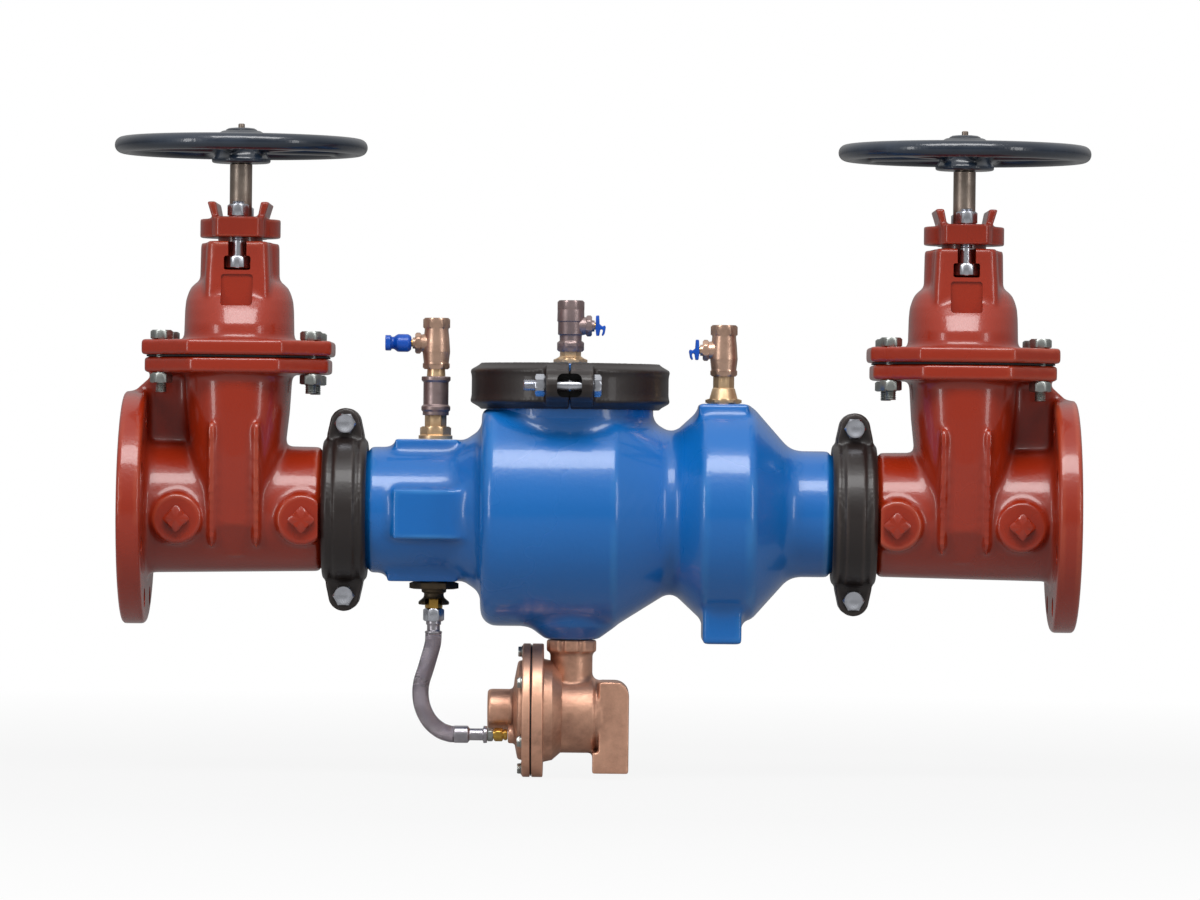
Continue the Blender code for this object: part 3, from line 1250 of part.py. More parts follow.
def relief_diaphragm():
    half = DIAPHRAGM_THICKNESS / 2
    outer, inner = RELIEF_FLANGE_RADIUS - MM, PLUNGER_STEM_RADIUS + FIT
    profile = [(half, inner), (half, outer), (-half, outer), (-half, inner)]
    return turned(profile, LARGE_SIDES, X_AXIS, ring=True)


def relief_plunger():
    """Guide stem, two diaphragm plates and the disc that closes on the vent seat."""
    near = DIAPHRAGM_THICKNESS / 2 + FIT
    far = near + PLUNGER_PLATE_THICKNESS
    stem_radius, plate_radius = PLUNGER_STEM_RADIUS, PLUNGER_PLATE_RADIUS
    profile = [
        (PLUNGER_DISC_END, 0),
        (PLUNGER_DISC_END, PLUNGER_DISC_RADIUS),
        (PLUNGER_DISC_START, PLUNGER_DISC_RADIUS),
        (PLUNGER_DISC_START, stem_radius + 2 * MM),
        (far, stem_radius + 2 * MM),
        (far, 10 * MM),
        (far - MM, plate_radius * 0.65),
        (near, plate_radius * 0.65),
        (near, stem_radius),
        (-near, stem_radius),
        (-near, plate_radius),
        (-far, plate_radius - 2 * MM),
        (-far, stem_radius),
        (PLUNGER_STEM_START, stem_radius),
        (PLUNGER_STEM_START, 0),
    ]
    return turned(profile, MEDIUM_SIDES, X_AXIS)


def relief_valve():
    place = at(INLET_JOINT_X + RELIEF_JOINT_X, 0, RELIEF_AXIS)
    hang = hanger("relief_valve", place)
    node(relief_body(), "relief_body", bronze, hang)
    node(relief_cover(), "relief_cover", bronze, hang)
    node(relief_diaphragm(), "relief_diaphragm", rubber, hang)
    node(relief_plunger(), "relief_plunger", bronze, hang)
    plate_face = DIAPHRAGM_THICKNESS / 2 + FIT + PLUNGER_PLATE_THICKNESS
    coil = spring(
        RELIEF_SPRING_RADIUS, RELIEF_SPRING_WIRE, RELIEF_SPRING_TURNS, plate_face, RELIEF_WEB_START
    )
    node(coil, "relief_spring", zinc, hang)


# Sensing line: from the body's lower tap to the relief cover, in the line's own frame


def smooth(points, count):
    """Evenly spaced parameters on a Catmull-Rom curve through the points."""
    knots = [Vector(p) for p in points]
    knots = [2 * knots[0] - knots[1]] + knots + [2 * knots[-1] - knots[-2]]
    line = []
    for i in range(count + 1):
        t = i / count * (len(points) - 1)
        k = min(int(t), len(points) - 2)
        u = t - k
        a, b, c, d = knots[k : k + 4]
        line.append(
            0.5 * (2 * b + (c - a) * u + (2 * a - 5 * b + 4 * c - d) * u * u)
            + 0.5 * (3 * b - a - 3 * c + d) * u**3
        )
    return line


def sensing_line():
    hang = hanger("sensing_line", Matrix.Identity(4))
    tap_x = INLET_JOINT_X + INLET_TAP_X
    foot = -TAP_PAD_FACE - FIT
    plate_foot = foot - ADAPTER_PLATE_HEIGHT
    adapter_foot = foot - ADAPTER_HEIGHT
    down = at(tap_x)
    adapter = hexagon(ADAPTER_PLATE_FLATS, plate_foot, foot, down)
    flare = rod(14.5 * MM, plate_foot - 11 * MM, plate_foot + MM, MEDIUM_SIDES, down, 11 * MM)
    brass_hex = hexagon(15 * MM, adapter_foot, plate_foot - 8 * MM, down)
    nut_foot = adapter_foot - HOSE_NUT_LENGTH
    nut = hexagon(HOSE_NUT_FLATS, nut_foot, adapter_foot + MM, down)
    hose_top = nut_foot - FERRULE_LENGTH
    ferrule = rod(FERRULE_RADIUS, hose_top, nut_foot + MM, MEDIUM_SIDES, down)
    joined(adapter, flare, brass_hex, nut, ferrule)
    node(adapter, "hose_inlet_adapter", brass, hang, (tap_x, 0, foot))

    entry_x = INLET_JOINT_X + RELIEF_JOINT_X - RELIEF_STEP_END - 6.5 * MM - FIT
    entry = (entry_x, HOSE_ENTRY_Y, RELIEF_AXIS - HOSE_ENTRY_DROP)
    lie = at(*entry) @ X_AXIS
    fitting = hexagon(UNION_FLATS, -UNION_LENGTH, 0, lie)
    nut_end = -UNION_LENGTH - UNION_NUT_LENGTH
    nut = hexagon(UNION_NUT_FLATS, nut_end, MM - UNION_LENGTH, lie)
    tail_end = nut_end - TAIL_LENGTH
    tail = rod(TAIL_RADIUS, tail_end - MM, nut_end + MM, COARSE_SIDES, lie)
    hose_end = tail_end - LOWER_FERRULE_LENGTH
    joined(fitting, nut, tail, rod(FERRULE_RADIUS, hose_end, tail_end, MEDIUM_SIDES, lie))
    node(fitting, "hose_relief_fitting", brass, hang, entry)

    start = Vector((tap_x, 0, hose_top - FIT))
    finish = Vector((entry_x + hose_end - FIT, HOSE_ENTRY_Y, entry[2]))
    route = [
        start + Vector((0, 0, -4)) * MM,
        start + Vector((-1, 0, -12)) * MM,
        Vector((299.5, -2, -153.6)) * MM,
        Vector((294.3, -6, -172.5)) * MM,
        Vector((295.5, -10.5, -190.5)) * MM,
        Vector((303.0, -15, -206.0)) * MM,
        Vector((314.0, -18.5, -215.5)) * MM,
        finish + Vector((-3, 0, 0)) * MM,
    ]
    hose = wire([start] + smooth(route, HOSE_SEGMENTS) + [finish], HOSE_RADIUS, 2)
    node(hose, "sensing_hose", steel_braid, hang, tuple(start))


# Test cocks: origin at the foot of the cock, on its axis


def cock_body(side, stack):
    """Ball-valve body with a hexagon at each end, on a nipple and bushing where it has them."""
    cock = rod(COCK_BARREL_RADIUS, COCK_FOOT_HEX - MM, COCK_HEIGHT - COCK_TOP_HEX + MM, MEDIUM_SIDES)
    foot = hexagon(COCK_FLATS, 0, COCK_FOOT_HEX)
    top = hexagon(COCK_FLATS, COCK_HEIGHT - COCK_TOP_HEX, COCK_HEIGHT)
    turn = at(z=COCK_AXIS) @ Matrix.Rotation(side * math.pi / 2, 4, "Y")
    nut = hexagon(COCK_NUT_FLATS, 5 * MM, COCK_NUT_END, turn)
    joined(cock, foot, top, nut)
    if stack:
        nipple = rod(NIPPLE_RADIUS, -stack + 3 * MM, 2 * MM, MEDIUM_SIDES)
        bushing_top = -stack + min(12 * MM, 0.6 * stack)
        joined(cock, nipple, hexagon(BUSHING_FLATS, -stack, bushing_top))
    room = COCK_BALL_RADIUS + COCK_BALL_CLEARANCE
    ball_room = turned(arc((COCK_AXIS, 0), room, 0, 180, 6), COARSE_SIDES)
    bore = rod(COCK_BORE_RADIUS, -stack - MM, COCK_HEIGHT + MM, COARSE_SIDES)
    socket = rod(COCK_SOCKET_RADIUS, COCK_HEIGHT - COCK_SOCKET_DEPTH, COCK_HEIGHT + MM, COARSE_SIDES)
    spindle = rod(COCK_SPINDLE_RADIUS + 0.6 * MM, 0, COCK_NUT_END + MM, COARSE_SIDES, turn)
    return cut(cock, bore, ball_room, socket, spindle)


def cock_plug(side):
    """Ball and spindle: what the handle turns."""
    ball = turned(arc((0, 0), COCK_BALL_RADIUS, 0, 180, 6), COARSE_SIDES, at(z=COCK_AXIS))
    cut(ball, rod(COCK_BORE_RADIUS, -20 * MM, 20 * MM, COARSE_SIDES, at(z=COCK_AXIS) @ Y_AXIS))
    turn = at(z=COCK_AXIS) @ Matrix.Rotation(side * math.pi / 2, 4, "Y")
    return joined(ball, rod(COCK_SPINDLE_RADIUS, 7 * MM, COCK_NUT_END + 4 * MM, COARSE_SIDES, turn)), turn


def tee_handle(side):
    """Long-necked tee handle, seen from its end on the inlet cock."""
    plug, turn = cock_plug(side)
    hub = rod(8.8 * MM, COCK_NUT_END + 3 * MM, 39 * MM, COARSE_SIDES, turn)
    neck = rod(6 * MM, 38 * MM, COCK_HANDLE_END - 2 * MM, COARSE_SIDES, turn)
    bar = block((-7.5 * MM, -15 * MM, 45 * MM), (7.5 * MM, 15 * MM, COCK_HANDLE_END), turn)
    return joined(plug, hub, neck, bar)


def wing_handle(side):
    """Pressed lever with one wing bent outwards."""
    plug, turn = cock_plug(side)
    face = COCK_NUT_END + 2.5 * MM
    section = [
        (10.5, 0),
        (10.5, 3.2),
        (-2, 4.2),
        (-8, 10.5),
        (-11.5, 8.5),
        (-6, 2),
        (-11, -0.5),
        (-8, -1.5),
    ]
    outward = [(x * MM, face + z * MM) for x, z in section]
    rings = [[(-x, y, z) for x, z in outward] for y in (-6.5 * MM, 6.5 * MM)]
    lever = loft(rings, turn)
    return joined(plug, lever)


def riser():
    """Bushing, nipple, coupling and nipple that lift the inlet cock."""
    tall = RISER_HEIGHT
    profile = [
        (tall, 0),
        (tall, NIPPLE_RADIUS - 0.3 * MM),
        (tall - 7 * MM, NIPPLE_RADIUS - 0.3 * MM),
        (tall - 7 * MM, 14.3 * MM),
        (tall - 12 * MM, 14.3 * MM),
        (tall - 13 * MM, 12.4 * MM),
        (tall - 35 * MM, 12.4 * MM),
        (tall - 36 * MM, 14.3 * MM),
        (tall - 43 * MM, 14.3 * MM),
        (tall - 43 * MM, NIPPLE_RADIUS),
        (5 * MM, NIPPLE_RADIUS),
        (5 * MM, 0),
    ]
    stack = joined(turned(profile, MEDIUM_SIDES), hexagon(BUSHING_FLATS, 0, 12.4 * MM))
    return cut(stack, rod(COCK_BORE_RADIUS, -MM, tall + MM, COARSE_SIDES))


def test_cocks():
    inlet_x = INLET_JOINT_X + INLET_TAP_X
    pad = TAP_PAD_FACE + FIT
    riser_hang = hanger("inlet_riser", at(inlet_x, 0, pad))
    node(riser(), "inlet_cock_riser", bronze, riser_hang)
    cover_top = PORT_JOINT + CLAMP_HALF_WIDTH - MM
    bulb_foot = BULB_PAD_FACE + FIT + OUTLET_STACK_HEIGHT
    places = {
        "inlet_cock": (inlet_x, pad + RISER_HEIGHT + FIT, -1, 0.0, tee_handle),
        "cover_cock": (
            INLET_JOINT_X + PORT_X,
            cover_top + FIT + COVER_STACK_HEIGHT,
            1,
            COVER_STACK_HEIGHT,
            wing_handle,
        ),
        "outlet_cock": (
            INLET_JOINT_X + OUTLET_TAP_X,
            bulb_foot,
            -1,
            OUTLET_STACK_HEIGHT,
            wing_handle,
        ),
    }
    for name, (x, z, side, stack, handle) in places.items():
        hang = hanger(name, at(x, 0, z))
        node(cock_body(side, stack), f"{name}_body", bronze, hang)
        node(handle(side), f"{name}_handle", blue_plastic, hang, (0, 0, COCK_AXIS))


Y_AXIS = Matrix.Rotation(-math.pi / 2, 4, "X")  # turns the Z axis to Y

empty_scene()
parts = new_collection("backflow_preventer")

red = paint("red_enamel", (0.45, 0.055, 0.03), 0.3)
blue = paint("blue_epoxy", (0.02, 0.13, 0.52), 0.25)
black = paint("black_enamel", (0.022, 0.018, 0.016), 0.45)
wheel_black = paint("wheel_enamel", (0.02, 0.026, 0.035), 0.35)
rubber = paint("rubber", (0.03, 0.03, 0.03), 0.7)
coated_iron = paint("coated_iron", (0.03, 0.03, 0.03), 0.6)
bronze = paint("cast_bronze", (0.42, 0.25, 0.16), 0.5, 0.6)
brass = paint("brass", (0.6, 0.42, 0.18), 0.3, 1.0)
stem_bronze = paint("stem_bronze", (0.42, 0.35, 0.28), 0.4, 0.9)
zinc = paint("zinc_plate", (0.62, 0.63, 0.66), 0.3, 1.0)
steel_braid = paint("steel_braid", (0.45, 0.44, 0.45), 0.4, 0.9)
blue_plastic = paint("blue_vinyl", (0.02, 0.12, 0.5), 0.4)

inlet_valve = gate_valve("inlet", at(INLET_STEM_X))
twin_valve(inlet_valve, "inlet", "outlet", at(OUTLET_STEM_X) @ HALF_TURN)
line_coupling("inlet", INLET_JOINT_X)
line_coupling("outlet", OUTLET_JOINT_X)

body_frame = hanger("body_frame", at(INLET_JOINT_X))
node(main_body(), "main_body", blue, body_frame)
check_valve("first_check", body_frame, FIRST_SEAT_X, FIRST_SEAT_RADIUS)
second_seat_radius = WAIST_RADIUS - BODY_WALL - FIT
check_valve("second_check", body_frame, SECOND_SEAT_X, second_seat_radius)

port_frame = hanger("access_port", at(INLET_JOINT_X + PORT_X))
node(access_cover(), "access_cover", blue, port_frame)
cover_clamp(port_frame)

relief_valve()
sensing_line()
test_cocks()
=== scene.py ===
"""A reduced-pressure backflow preventer for a 4 inch line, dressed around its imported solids.

Meshes are modelled in millimetres, in the object's own frame, and brought to metres when
each piece is finished: +X along the flow, +Z up, and the viewer on the -Y side.
"""

import math

import bmesh
import bpy
import numpy as np
from mathutils import Matrix, Vector


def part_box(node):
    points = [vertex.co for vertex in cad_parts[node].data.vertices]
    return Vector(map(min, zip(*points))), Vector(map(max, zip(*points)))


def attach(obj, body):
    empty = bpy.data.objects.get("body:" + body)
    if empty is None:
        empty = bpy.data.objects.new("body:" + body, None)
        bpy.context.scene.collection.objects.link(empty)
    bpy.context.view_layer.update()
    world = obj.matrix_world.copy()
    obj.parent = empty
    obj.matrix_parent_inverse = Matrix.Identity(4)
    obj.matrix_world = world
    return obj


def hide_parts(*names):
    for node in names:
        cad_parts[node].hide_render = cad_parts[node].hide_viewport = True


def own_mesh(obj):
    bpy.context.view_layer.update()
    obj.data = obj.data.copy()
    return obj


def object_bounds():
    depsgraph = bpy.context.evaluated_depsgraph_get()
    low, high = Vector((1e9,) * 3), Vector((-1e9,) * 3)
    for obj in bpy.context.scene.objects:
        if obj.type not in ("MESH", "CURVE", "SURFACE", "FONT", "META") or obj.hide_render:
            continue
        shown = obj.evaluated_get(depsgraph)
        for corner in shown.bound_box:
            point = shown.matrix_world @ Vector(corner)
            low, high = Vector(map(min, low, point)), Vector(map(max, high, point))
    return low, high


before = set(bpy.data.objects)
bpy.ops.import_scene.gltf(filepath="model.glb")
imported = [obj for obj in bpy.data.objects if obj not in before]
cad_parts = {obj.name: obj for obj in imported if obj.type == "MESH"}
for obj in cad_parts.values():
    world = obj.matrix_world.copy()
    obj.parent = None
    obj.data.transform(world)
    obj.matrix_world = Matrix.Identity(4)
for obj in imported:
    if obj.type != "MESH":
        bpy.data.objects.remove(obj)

# Studio
# A pale floor under the object, a broad soft lamp above and in front, two tall ones at the
# sides, and a camera far enough off that the long line shows almost without perspective.
MM = 0.001
cad_low, cad_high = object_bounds()
studio = bpy.context.scene
studio.view_settings.view_transform = "Standard"

CAMERA_PLACE = (0.468, -6.2, 0.061)
CAMERA_ROLL = 0.6
CAMERA_LENS = 189.0

camera = bpy.data.objects.new("camera", bpy.data.cameras.new("camera"))
studio.collection.objects.link(camera)
camera.data.lens = CAMERA_LENS
level = Matrix.Rotation(math.pi / 2, 4, "X") @ Matrix.Rotation(math.radians(CAMERA_ROLL), 4, "Z")
camera.matrix_world = Matrix.Translation(CAMERA_PLACE) @ level
studio.camera = camera


def lamp(name, place, width, height, power):
    light = bpy.data.lights.new(name, "AREA")
    light.shape = "RECTANGLE"
    light.size = width
    light.size_y = height
    light.energy = power
    stand = bpy.data.objects.new(name, light)
    stand.location = place
    towards = Vector(((cad_low.x + cad_high.x) / 2, 0, 0)) - Vector(place)
    stand.rotation_euler = towards.to_track_quat("-Z", "Y").to_euler()
    studio.collection.objects.link(stand)


lamp("overhead_lamp", (0.47, -1.7, 2.3), 2.6, 1.0, 62)
lamp("left_lamp", (-1.9, -2.0, 0.5), 0.5, 1.8, 16)
lamp("right_lamp", (2.8, -2.0, 0.5), 0.5, 1.8, 12)


class Field:
    """A socket in a node tree. Sums written with it add Math nodes, and node() adds any other."""

    def __init__(self, tree, socket=None):
        self.tree = tree
        self.socket = socket

    def node(self, kind, settings=None, sockets=None, out=0):
        made = self.tree.nodes.new(kind)
        for name, value in (settings or {}).items():
            setattr(made, name, value)
        for key, value in (sockets or {}).items():
            found = [s for i, s in enumerate(made.inputs) if key in (i, s.identifier, s.name)]
            if isinstance(value, Field):
                self.tree.links.new(value.socket, found[0])
            elif isinstance(value, list):
                for one in value:
                    self.tree.links.new(one.socket, found[0])
            else:
                found[0].default_value = value
        return Field(self.tree, made.outputs[out] if len(made.outputs) else None)

    def maths(self, operation, first, second=0.0):
        return self.node("ShaderNodeMath", {"operation": operation}, {0: first, 1: second})

    def __add__(self, other):
        return self.maths("ADD", self, other)

    def __radd__(self, other):
        return self.maths("ADD", other, self)

    def __sub__(self, other):
        return self.maths("SUBTRACT", self, other)

    def __rsub__(self, other):
        return self.maths("SUBTRACT", other, self)

    def __mul__(self, other):
        return self.maths("MULTIPLY", self, other)

    def __rmul__(self, other):
        return self.maths("MULTIPLY", other, self)

    def __truediv__(self, other):
        return self.maths("DIVIDE", self, other)

    def between(self, low, high):
        """0 below one value, 1 above the other, and a straight climb from one to the other."""
        span = {"Value": self, "From Min": low, "From Max": high}
        return self.node("ShaderNodeMapRange", {"clamp": True}, span)

    def mixed(self, first, second):
        """The first colour where this is 0 and the second where it is 1."""
        colours = {"Factor_Float": self, "A_Color": first, "B_Color": second}
        return self.node("ShaderNodeMix", {"data_type": "RGBA"}, colours, 2)


def seen_by_eye(tree, mirrored):
    """1 for rays from the camera, the given brightness for reflections, and 0 for other light."""
    straight = tree.node("ShaderNodeLightPath", None, None, "Is Camera Ray")
    glossy = tree.node("ShaderNodeLightPath", None, None, "Is Glossy Ray")
    return tree.maths("MAXIMUM", straight, glossy * mirrored)


WORLD_LIGHT = 0.36
ROOM_MIRRORED = (0.14, 0.8)
FLOOR_MIRRORED = 0.12
FLOOR_RADIUS = 6.0
FLOOR_FADE = (0.7, 2.2)
FLOOR_WHITE = 0.9

studio.world = bpy.data.worlds.new("studio")
studio.world.use_nodes = True
air = Field(studio.world.node_tree)
air.tree.nodes.clear()
way_up = air.node("ShaderNodeTexCoord", None, None, "Generated")
way_up = air.node("ShaderNodeSeparateXYZ", None, {"Vector": way_up}, "Z")
room = way_up.between(-0.1, 0.9) * (ROOM_MIRRORED[1] - ROOM_MIRRORED[0]) + ROOM_MIRRORED[0]
eye = seen_by_eye(air, room)
scattered = air.node("ShaderNodeLightPath", None, None, "Is Diffuse Ray")
brightness = eye + scattered * WORLD_LIGHT
glow = air.node("ShaderNodeBackground", None, {"Color": (1, 1, 1, 1), "Strength": brightness})
air.node("ShaderNodeOutputWorld", None, {"Surface": glow})

floor_disc = bmesh.new()
bmesh.ops.create_circle(floor_disc, cap_ends=True, segments=64, radius=FLOOR_RADIUS)
floor_disc.transform(Matrix.Translation((CAMERA_PLACE[0], 0, cad_low.z - 0.5 * MM)))
floor = bpy.data.objects.new("floor", bpy.data.meshes.new("floor"))
floor_disc.to_mesh(floor.data)
floor_disc.free()
studio.collection.objects.link(floor)
floor_paint = bpy.data.materials.new("pale_floor")
floor_paint.use_nodes = True
ground = Field(floor_paint.node_tree)
ground.tree.nodes.clear()
spot = ground.node("ShaderNodeTexCoord", None, None, "Object")
under_line = {0: spot, 1: (CAMERA_PLACE[0], 0, cad_low.z)}
away = ground.node("ShaderNodeVectorMath", {"operation": "DISTANCE"}, under_line, "Value")
whiteness = away.between(*FLOOR_FADE) * (1 - FLOOR_WHITE) + FLOOR_WHITE
matt = ground.node("ShaderNodeBsdfDiffuse", None, {"Color": (0.35, 0.35, 0.35, 1)})
white = ground.node("ShaderNodeEmission", None, {"Color": (1, 1, 1, 1), "Strength": 1.0})
cover = {0: seen_by_eye(ground, FLOOR_MIRRORED) * whiteness, 1: matt, 2: white}
surface = ground.node("ShaderNodeMixShader", None, cover)
ground.node("ShaderNodeOutputMaterial", None, {"Surface": surface})
floor.data.materials.append(floor_paint)


# Main body
# One casting in ductile iron with both check chambers, coated inside and out with glossy blue
# fusion-bonded epoxy. Its sand-cast skin shows through the coat as a fine orange peel.
def extent(node):
    """A node's lowest and highest corners, in millimetres."""
    low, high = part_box(node)
    return low / MM, high / MM


def middle(node):
    low, high = extent(node)
    return (low + high) / 2


def at(x=0.0, y=0.0, z=0.0):
    return Matrix.Translation((x, y, z))


ALONG = Matrix.Rotation(math.pi / 2, 4, "Y")
TOWARDS_VIEWER = Matrix.Rotation(math.pi / 2, 4, "X")


def blank(form, place=None):
    """A working object from a bmesh."""
    if place is not None:
        form.transform(place)
    mesh = bpy.data.meshes.new("blank")
    form.to_mesh(mesh)
    form.free()
    obj = bpy.data.objects.new("blank", mesh)
    studio.collection.objects.link(obj)
    return obj


def eased(corners, radius=2.0, closed=False, steps=4):
    """An outline's points with its corners rounded; a third number is a corner's own radius."""
    points = [Vector(corner[:2]) for corner in corners]
    line = []
    for i, here in enumerate(points):
        own = corners[i][2] if len(corners[i]) > 2 else radius
        if (not closed and i in (0, len(points) - 1)) or own <= 0:
            line.append(here)
            continue
        back = points[i - 1] - here
        ahead = points[(i + 1) % len(points)] - here
        half = back.angle(ahead) / 2
        if half > math.radians(87):
            line.append(here)
            continue
        run = min(own / math.tan(half), back.length * 0.48, ahead.length * 0.48)
        centre = here + (back.normalized() + ahead.normalized()).normalized() * run / math.cos(half)
        start = here + back.normalized() * run - centre
        stop = here + ahead.normalized() * run - centre
        for k in range(steps + 1):
            towards = start.lerp(stop, k / steps).normalized()
            line.append(centre + towards * start.length)
    return [tuple(point) for point in line]


def turned(profile, place=None, sides=96, flats=0.0, corners=6, ring=False):
    """A solid turned about Z from (height, radius) pairs down its outer side.

    With flats, its radius is cut back to a polygon of that width across flats.
    """
    form = bmesh.new()
    rings = []
    for height, radius in profile:
        count = sides if radius > 1e-6 else 1
        points = []
        for i in range(count):
            angle = math.tau * i / sides
            reach = radius
            if flats:
                step = math.tau / corners
                aside = (angle + step / 2) % step - step / 2
                reach = min(radius, flats / 2 / math.cos(aside))
            points.append(form.verts.new((reach * math.cos(angle), reach * math.sin(angle), height)))
        rings.append(points)
    pairs = list(zip(rings, rings[1:])) + ([(rings[-1], rings[0])] if ring else [])
    for upper, lower in pairs:
        for i in range(sides):
            after = (i + 1) % sides
            corner_points = []
            for loop, index in ((upper, i), (lower, i), (lower, after), (upper, after)):
                vertex = loop[index % len(loop)]
                if vertex not in corner_points:
                    corner_points.append(vertex)
            if len(corner_points) > 2:
                form.faces.new(corner_points)
    return blank(form, place)


def rod(radius, low, high, place=None, sides=96):
    """A plain round bar between two heights."""
    return turned([(high, 0), (high, radius), (low, radius), (low, 0)], place, sides)


def lofted(sections, place=None):
    """A closed skin over rings of equally many points, with flat ends."""
    form = bmesh.new()
    rings = [[form.verts.new(point) for point in section] for section in sections]
    for lower, upper in zip(rings, rings[1:]):
        for i, vertex in enumerate(lower):
            after = (i + 1) % len(lower)
            form.faces.new((vertex, lower[after], upper[after], upper[i]))
    form.faces.new(reversed(rings[0]))
    form.faces.new(rings[-1])
    bmesh.ops.recalc_face_normals(form, faces=form.faces)
    return blank(form, place)


def extruded(outline, low, high, place=None):
    """An outline in XY, raised between two heights on Z."""
    return lofted([[(*point, height) for point in outline] for height in (low, high)], place)


def slab(low, high, place=None):
    """A box between two corners."""
    outline = [(low[0], low[1]), (high[0], low[1]), (high[0], high[1]), (low[0], high[1])]
    return extruded(outline, low[2], high[2], place)


def gathered(first, *others):
    """Several loose solids as one object."""
    form = bmesh.new()
    form.from_mesh(first.data)
    for other in others:
        form.from_mesh(other.data)
        bpy.data.objects.remove(other)
    form.to_mesh(first.data)
    form.free()
    return first


def settled(obj):
    """The object with its modifiers worked into its mesh."""
    bpy.context.view_layer.update()
    evaluated = obj.evaluated_get(bpy.context.evaluated_depsgraph_get())
    mesh = bpy.data.meshes.new_from_object(evaluated)
    obj.modifiers.clear()
    obj.data = mesh
    return obj


def worked(obj, tools, operation):
    for tool in tools:
        modifier = obj.modifiers.new("work", "BOOLEAN")
        modifier.operation = operation
        modifier.solver = "MANIFOLD"
        modifier.object = tool
        settled(obj)
        bpy.data.objects.remove(tool)
    return obj


def cut(obj, *tools):
    return worked(obj, tools, "DIFFERENCE")


def welded(obj, *tools):
    return worked(obj, tools, "UNION")


def neighbours_mean(places, ends):
    """For each vertex, the mean place of the vertices at the other ends of its edges."""
    count = len(places)
    both = np.concatenate([ends, ends[:, ::-1]])
    degree = np.maximum(np.bincount(both[:, 0], minlength=count), 1)
    sums = [np.bincount(both[:, 0], places[both[:, 1], k], count) for k in range(places.shape[1])]
    return np.stack(sums, axis=1) / degree[:, None]


def softened(obj, passes, fillets):
    """Rounds a casting's edges, and fills its inner corners with fillets by more passes there.

    The attribute "hollow" keeps how deep in a corner, or below zero how far out on an edge,
    each point lies, for the paint.
    """
    mesh = obj.data
    places = np.empty(len(mesh.vertices) * 3)
    mesh.vertices.foreach_get("co", places)
    places = places.reshape(-1, 3)
    ends = np.empty(len(mesh.edges) * 2, np.int32)
    mesh.edges.foreach_get("vertices", ends)
    ends = ends.reshape(-1, 2)

    def hollowness():
        normals = np.empty(len(mesh.vertices) * 3)
        mesh.vertices.foreach_get("normal", normals)
        pull = neighbours_mean(places, ends) - places
        return (pull * normals.reshape(-1, 3)).sum(1, keepdims=True)

    def spread(values, times):
        for _ in range(times):
            values = (values + neighbours_mean(values, ends)) / 2
        return values

    for _ in range(passes):
        places += 0.5 * (neighbours_mean(places, ends) - places)
    mesh.vertices.foreach_set("co", places.ravel())
    mesh.update()
    if fillets:
        inner = np.clip(spread(hollowness(), 3) * 12, 0, 1)
        inner = np.clip(spread(inner, 4) * 2.5, 0, 1)
        for _ in range(fillets):
            places += 0.5 * inner * (neighbours_mean(places, ends) - places)
        mesh.vertices.foreach_set("co", places.ravel())
        mesh.update()
    hollow = np.clip(spread(hollowness(), 4) * 14, -1, 1)
    layer = mesh.attributes.new("hollow", "FLOAT", "POINT")
    layer.data.foreach_set("value", hollow.ravel().astype(np.float32))
    return obj


def cast(rough, grain, passes, fillets=0):
    """A casting from loose solids: skinned over at a fine grain, with its corners softened."""
    skin = rough.modifiers.new("skin", "REMESH")
    skin.mode = "VOXEL"
    skin.voxel_size = grain
    settled(rough)
    return softened(rough, passes, fillets)


def chamfered(obj, width, angle=30.0):
    edge = obj.modifiers.new("edge", "BEVEL")
    edge.width = width
    edge.segments = 2
    edge.limit_method = "ANGLE"
    edge.angle_limit = math.radians(angle)
    edge.harden_normals = False
    return settled(obj)


SHARP_ANGLE = 38.0


def keep(obj, name, body, slot, paint, *nodes):
    """A finished piece: in metres, painted, carried by its body, in place of its CAD nodes."""
    obj.name = obj.data.name = name
    obj.data.transform(Matrix.Scale(MM, 4))
    obj.data.materials.clear()
    obj.data.materials.append(paint)
    obj.data.shade_smooth()
    obj.data.set_sharp_from_angle(angle=math.radians(SHARP_ANGLE))
    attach(obj, body)
    if nodes:
        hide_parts(*nodes)


def twin(obj, place):
    """A second working object with the same mesh, elsewhere."""
    mesh = obj.data.copy()
    mesh.transform(place)
    copy = bpy.data.objects.new("blank", mesh)
    studio.collection.objects.link(copy)
    return copy


def rgb(red, green, blue):
    """A linear colour from screen values between 0 and 255."""
    linear = []
    for value in (red, green, blue):
        share = value / 255
        linear.append(share / 12.92 if share <= 0.04045 else ((share + 0.055) / 1.055) ** 2.4)
    return (*linear, 1.0)


def shade(colour, share):
    """A colour made darker or lighter."""
    return (*(min(1.0, share * value) for value in colour[:3]), 1.0)


def new_paint(name):
    """A material, its node tree, and the place on the piece that its patterns read."""
    paint = bpy.data.materials.new(name)
    paint.use_nodes = True
    paint.node_tree.nodes.clear()
    field = Field(paint.node_tree)
    return paint, field, field.node("ShaderNodeTexCoord", None, None, "Object")


def kept_in(field, name):
    """An attribute that a piece's mesh keeps at its points."""
    return field.node("ShaderNodeAttribute", {"attribute_name": name}, None, "Fac")


def finished(paint, field, tone, roughness, relief, depth, strength=1.0, others=None):
    """Ends a material: its colour, its roughness, a relief of some depth, and what else it has."""
    bump = {"Strength": strength, "Distance": depth, "Height": relief}
    sockets = {"Base Color": tone, "Roughness": roughness, **(others or {})}
    sockets["Normal"] = field.node("ShaderNodeBump", None, bump)
    shader = field.node("ShaderNodeBsdfPrincipled", None, sockets)
    field.node("ShaderNodeOutputMaterial", None, {"Surface": shader})
    return paint


